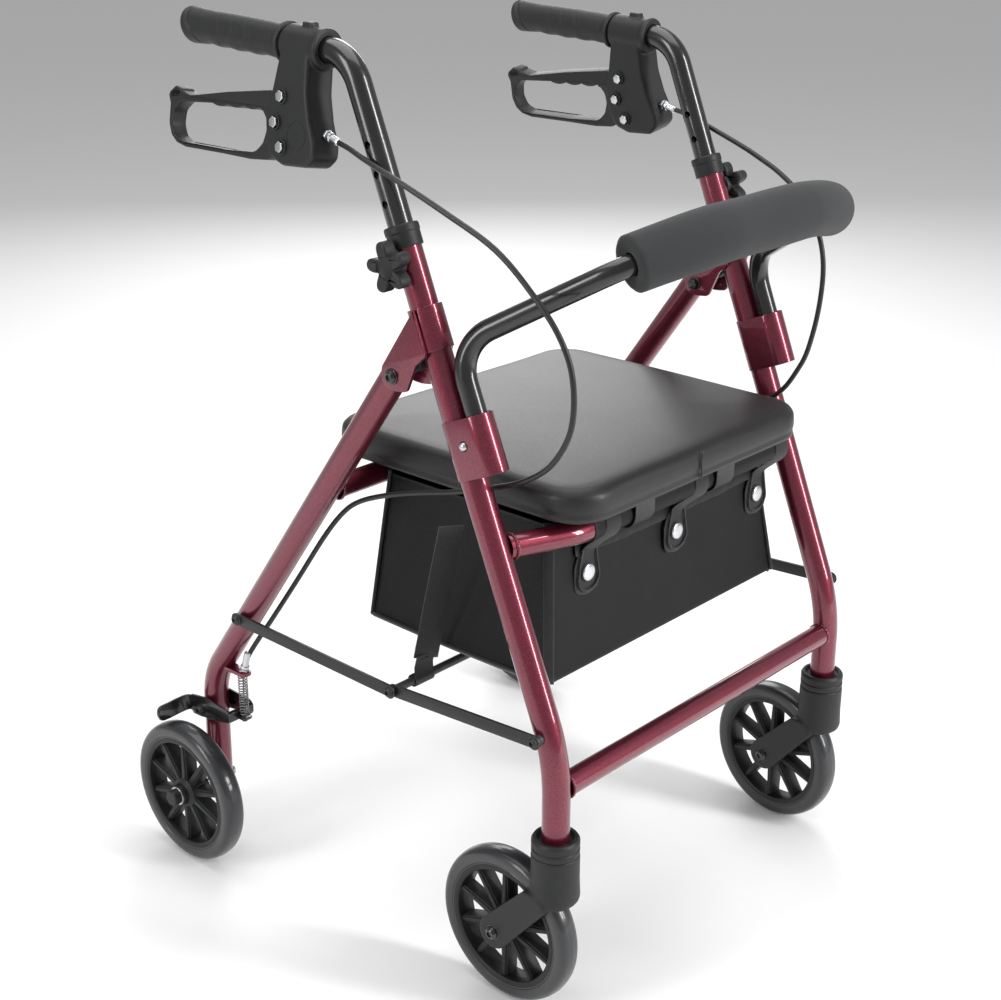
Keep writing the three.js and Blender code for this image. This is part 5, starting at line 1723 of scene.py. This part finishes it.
    def knob(self) -> Form:
        """The five-lobed knob."""
        star = []
        for k in range(120):
            a = TAU * k / 120
            wave = math.cos(5 * a)
            r = 17.2 + 6.0 * wave - 1.0 * math.cos(10 * a)
            star.append((r * math.cos(a), r * math.sin(a)))
        spot = on_leg(self.knob_down)
        face = -LEG_X - LEG_R - 0.3
        place = outward(face, spot.y, spot.z)
        form = Form().plate([star], 5.2, 19, place, 2.6, 5)
        neck = rounded([(0, 0), (8.4, 0), (9.4, 6), (0, 6)], [0, 0.8, 1, 0], 3)
        return form.turned(neck, place, 36)

    def dish(self, sign: int) -> Form:
        """The cutter of the knob's dished centre."""
        spot = on_leg(self.knob_down)
        face = -LEG_X - LEG_R - 0.3
        bowl = [(0, 16.2), (6.5, 16.4), (8.6, 17.2), (9.8, 18.4), (10.2, 19.6), (10.2, 21), (0, 21)]
        form = Form().turned(bowl, outward(face, spot.y, spot.z), 40)
        return form if sign < 0 else form.mirrored()

    def build(self) -> None:
        """Makes both handles, with everything on them."""
        for piece in self.both("handle_tube_black", self.tube(), PALETTE.black, "{side}_handle",
                               "handle_tube", dropped=True):
            right = piece.name.startswith("right")
            self.shop.cut(piece, self.holes(-1 if right else 1, 0 if right else NOTCH))
        self.both("grip_rubber", self.grip(), PALETTE.grip, "{side}_handle", "grip", sharp=55, dropped=True)
        for piece in self.both("brake_housing_body", self.housing(), PALETTE.moulded, "{side}_handle",
                               "brake_housing", dropped=True):
            sign, drop = (-1, 0.0) if piece.name.startswith("right") else (1, NOTCH)
            weld(piece, 0.0011, 3)
            self.shop.cut(piece, self.cut_housing(sign, drop))
            self.shop.cut(piece, self.bore(sign, drop))
        self.both("brake_bolt_collars", self.collars(), PALETTE.moulded, "{side}_handle", dropped=True)
        self.both("brake_bolt_heads", self.bolt_heads(), PALETTE.steel, "{side}_handle", dropped=True)
        self.both("brake_lever_loop", self.lever(), PALETTE.moulded, "{side}_lever", "brake_lever",
                  dropped=True)
        for piece in self.both("star_knob_lobed", self.knob(), PALETTE.moulded, "{side}_knob", "star_knob"):
            self.shop.cut(piece, self.dish(-1 if piece.name.startswith("right") else 1))


def weld(piece: bpy.types.Object, voxel: float, smooth: int) -> None:
    """Melts a piece's overlapping shapes into one moulding.

    Args:
        piece: The piece, whose mesh is changed.
        voxel: The size of the cells, in metres.
        smooth: How many times the skin is relaxed.
    """
    melt = piece.modifiers.new("melt", "REMESH")
    melt.mode = "VOXEL"
    melt.voxel_size = voxel
    relax = piece.modifiers.new("relax", "SMOOTH")
    relax.factor = 0.5
    relax.iterations = smooth
    bpy.context.view_layer.update()
    graph = bpy.context.evaluated_depsgraph_get()
    mesh = bpy.data.meshes.new_from_object(piece.evaluated_get(graph))
    piece.modifiers.clear()
    finishes = list(piece.data.materials)
    piece.data = mesh
    mesh.materials.clear()
    for finish in finishes:
        mesh.materials.append(finish)
    mesh.shade_smooth()


# ---------------------------------------------------------------- wheels


@dataclass
class Wheels:
    """The four spoked wheels and the two swivelling forks."""

    shop: Workshop
    spokes: int = 10
    hub_half: float = 17.3
    fork_half: float = 24.6
    fork_arm: float = 6.0
    crown: float = 19.3
    crown_top: float = 173.9

    def tyre(self) -> Form:
        """The solid tyre, with its moulding ridge and side lines."""
        profile: list[Pair] = [(61.0, -10.9), (62.2, -11.2), (62.6, -10.8), (63.0, -11.3)]
        for k in range(41):
            a = math.radians(-88 + 176 * k / 40)
            r = 65.0 + 10.9 * abs(math.cos(a)) ** 0.62
            ridge = 0.3 * math.exp(-(a / 0.05) ** 2)
            profile.append((r + ridge, 11.7 * math.copysign(abs(math.sin(a)) ** 0.75, a)))
        profile += [(63.0, 11.3), (62.6, 10.8), (62.2, 11.2), (61.0, 10.9)]
        return Form().turned(profile, across((0, 0, 0)), 112, looped=True)

    def core(self) -> Form:
        """The moulded rim, hub and tapered spokes."""
        rim = rounded([(54.6, -3), (55.6, -10.2), (58, -11.2), (60.8, -11.2), (60.8, 11.2), (58, 11.2),
                       (55.6, 10.2), (54.6, 3)], [2, 1.2, 1.2, 0.2, 0.2, 1.2, 1.2, 2], 4)
        form = Form().turned(rim, across((0, 0, 0)), 112, looped=True)
        half = self.hub_half
        hub = rounded([(4.3, -half), (10, -half), (10.8, -half + 1), (11.4, -11), (16.5, -8.6), (16.5, 8.6),
                       (11.4, 11), (10.8, half - 1), (10, half), (4.3, half)],
                      [0, 0.4, 0.5, 1.5, 2, 2, 1.5, 0.5, 0.4, 0], 4)
        form.turned(hub, across((0, 0, 0)), 48, looped=True)
        for k in range(self.spokes):
            turn = Matrix.Rotation(TAU * (k + 0.5) / self.spokes, 4, "X")
            for low, high, wide in ((-8.6, 8.6, 1.7), (-7.2, 7.2, 3.0)):
                blade = rounded([(12, -wide * 1.55), (57, -wide), (57, wide), (12, wide * 1.55)], 0.5, 2)
                form.plate([blade], low, high, turn @ across((0, 0, 0)), 0.7)
        return form

    def fork(self) -> Form:
        """The fork's moulded crown and arms, about its own swivel axis."""
        rings = []
        for z, wide, deep, shift, square in ((self.crown_top, 21.4, 21.4, 0, 2), (172.8, 22.0, 22.0, 0, 2),
                                             (160, 22.0, 22.0, 0, 2), (148, 22.3, 22.0, 0.2, 2),
                                             (138, 22.9, 22.2, 0.6, 2.1), (130, 23.4, 22.4, 1.0, 2.2),
                                             (125, 23.2, 22.0, 2.0, 2.2)):
            ring = []
            for k in range(64):
                c, t = math.cos(TAU * k / 64), math.sin(TAU * k / 64)
                far = (abs(c) ** square + abs(t) ** square) ** (-1 / square)
                ring.append(Vector((wide * far * c, shift + deep * far * t, z)))
            rings.append(ring)
        side = [(CASTER_TRAIL + 16.5 * math.cos(a), WHEEL_R + 16.5 * math.sin(a)) for a in
                (-2.4 + 3.13 * k / 24 for k in range(25))]
        side += [(30, 124), (24, 130), (18, 136), (2, 136), (-6, 130), (-8, 124)]
        return Form().skin(rings).plate([side], -self.fork_half, self.fork_half, across((0, 0, 0)), 1.8, 4)

    def room(self) -> Form:
        """The cutter of the wheel's room in the fork."""
        inner = self.fork_half - self.fork_arm
        ring = rounded([(0, -inner), (81, -inner), (81, inner), (0, inner)], [0, 5, 5, 0], 5)
        form = Form().turned(ring, across((0, CASTER_TRAIL, WHEEL_R)), 96)
        well = [(0, 0), (8.2, 0), (8.2, 4), (0, 4)]
        for turn in (outward(-self.fork_half + 1.1, CASTER_TRAIL, WHEEL_R),
                     across((self.fork_half - 1.1, CASTER_TRAIL, WHEEL_R))):
            form.turned(well, turn, 36)
        return form

    def axle(self) -> Form:
        """The caster's axle bolt: socket head on one side, round cap on the other."""
        face = self.fork_half - 0.9
        at = (CASTER_TRAIL, WHEEL_R)
        form = Form().tube([Vector((-face, *at)), Vector((face, *at))], 4, sides=24)
        washer(form, outward(-face, *at), 7.9, 4, 0.8)
        button_head(form, outward(-face - 0.8, *at), 6.7, 4.2)
        cap = rounded([(0, 0), (8.0, 0), (8.2, 6.5), (6.9, 10.2), (0, 10.6)], [0, 0.3, 2, 2, 0], 4)
        return form.turned(cap, across((face + 0.4, *at)), 32)

    def build(self) -> None:
        """Makes the wheels and casters, and puts each one in its place."""
        for side in Side:
            word, sign = side.word, side.value
            rear = Matrix.Translation((sign * REAR_WHEEL_X, REAR_AXLE_Y, WHEEL_R))
            yaw = LEFT_CASTER_YAW if side is Side.LEFT else 0.0
            stem = Matrix.Translation((sign * LEG_X, STEM_Y, 0)) @ Matrix.Rotation(yaw, 4, "Z")
            front = stem @ Matrix.Translation((0, CASTER_TRAIL, WHEEL_R))
            for end, place in (("rear", rear), ("front", front)):
                body = f"{word}_{end}_roller"
                self.shop.piece(f"{word}_{end}_tyre_solid", self.tyre().placed(place), PALETTE.tyre, body,
                                f"{word}_{end}_tyre")
                self.shop.piece(f"{word}_{end}_wheel_spoked", self.core().placed(place), PALETTE.wheel, body,
                                f"{word}_{end}_wheel")
            fork = self.shop.piece(f"{word}_fork_moulded", self.fork().placed(stem), PALETTE.moulded,
                                   f"{word}_caster", f"{word}_caster_fork")
            weld(fork, 0.0011, 6)
            self.shop.cut(fork, self.room().placed(stem))
            self.shop.piece(f"{word}_caster_bolt", self.axle().placed(stem), PALETTE.black, f"{word}_caster",
                            f"{word}_caster_axle")


# ---------------------------------------------------------------- studio


@dataclass
class Studio:
    """The pale floor, the soft lights and the camera."""

    eye: tuple[float, float, float] = (-1.230291, -1.085206, 1.022600)
    yaw: float = math.radians(48.0119)
    pitch: float = math.radians(21.5104)
    roll: float = math.radians(0.1281)
    lens: float = 62.745
    shift: Pair = (-0.00102, 0.00597)

    def camera(self) -> None:
        """Stands the camera at its height, in front of the walker's right-hand side."""
        ahead = Vector((math.sin(self.yaw) * math.cos(self.pitch), math.cos(self.yaw) * math.cos(self.pitch),
                        -math.sin(self.pitch)))
        right = ahead.cross(Vector((0, 0, 1))).normalized()
        up = right.cross(ahead)
        c, s = math.cos(self.roll), math.sin(self.roll)
        lens = bpy.data.cameras.new("view")
        lens.lens = self.lens
        lens.sensor_width = 36
        lens.shift_x, lens.shift_y = self.shift
        camera = bpy.data.objects.new("view", lens)
        camera.matrix_world = basis(right * c + up * s, up * c - right * s, -ahead, self.eye)
        bpy.context.scene.collection.objects.link(camera)
        bpy.context.scene.camera = camera

    def light(self, name: str, at: Sequence[float], size: Pair, power: float) -> None:
        """Adds a soft box aimed at the walker's middle."""
        lamp = bpy.data.lights.new(name, "AREA")
        lamp.shape = "RECTANGLE"
        lamp.size, lamp.size_y = size
        lamp.energy = power
        box = bpy.data.objects.new(name, lamp)
        aim = Vector((0, 0, 0.45)) - Vector(at)
        box.rotation_euler = aim.to_track_quat("-Z", "Y").to_euler()
        box.location = at
        bpy.context.scene.collection.objects.link(box)

    def floor(self) -> None:
        """Lays the pale floor."""
        mesh = bpy.data.meshes.new("floor")
        reach = 14.0
        mesh.from_pydata([(-reach, -reach, 0), (reach, -reach, 0), (reach, reach, 0), (-reach, reach, 0)], [],
                         [(0, 1, 2, 3)])
        floor = bpy.data.objects.new("floor", mesh)
        bpy.context.scene.collection.objects.link(floor)
        paint = bpy.data.materials.new("pale_floor")
        paint.use_nodes = True
        shader = paint.node_tree.nodes["Principled BSDF"]
        shader.inputs["Base Color"].default_value = (0.93, 0.93, 0.93, 1)
        shader.inputs["Roughness"].default_value = 0.9
        shader.inputs["Specular IOR Level"].default_value = 0.1
        mesh.materials.append(paint)

    def build(self) -> None:
        """Makes the studio."""
        self.camera()
        self.floor()
        self.light("key_box", (0.75, -2.3, 1.5), (0.4, 2.0), 58)
        self.light("side_box", (-2.5, 0.5, 1.5), (0.7, 1.9), 30)
        self.light("top_box", (0.1, 0.2, 2.6), (2.2, 2.2), 36)
        self.light("back_box", (1.9, 1.9, 1.6), (1.2, 1.6), 24)
        world = bpy.data.worlds.new("studio")
        world.use_nodes = True
        sky = world.node_tree.nodes["Background"]
        sky.inputs["Color"].default_value = (1, 1, 1, 1)
        sky.inputs["Strength"].default_value = 0.4
        bpy.context.scene.world = world
        bpy.context.scene.view_settings.view_transform = "Standard"


def main() -> None:
    """Builds the walker round the frame."""
    logging.basicConfig(level=logging.INFO, format="%(name)s: %(message)s")
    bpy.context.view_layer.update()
    effects = Effects()
    effects.build()
    shop = Workshop(effects)
    Studio().build()
    for kind in (FrontFrame, FoldHinge, Backrest, RearFrame, Seat, Bag, PullStrap, Spreader,
                 RearBrake, Cables, Handles, Wheels):
        assembly = kind(shop)
        assembly.build()
        log.info("%s is done", type(assembly).__name__)
    for name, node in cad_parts.items():
        if not node.hide_render:
            log.info("frame node still shown: %s", name)


if __name__ == "__main__":
    main()
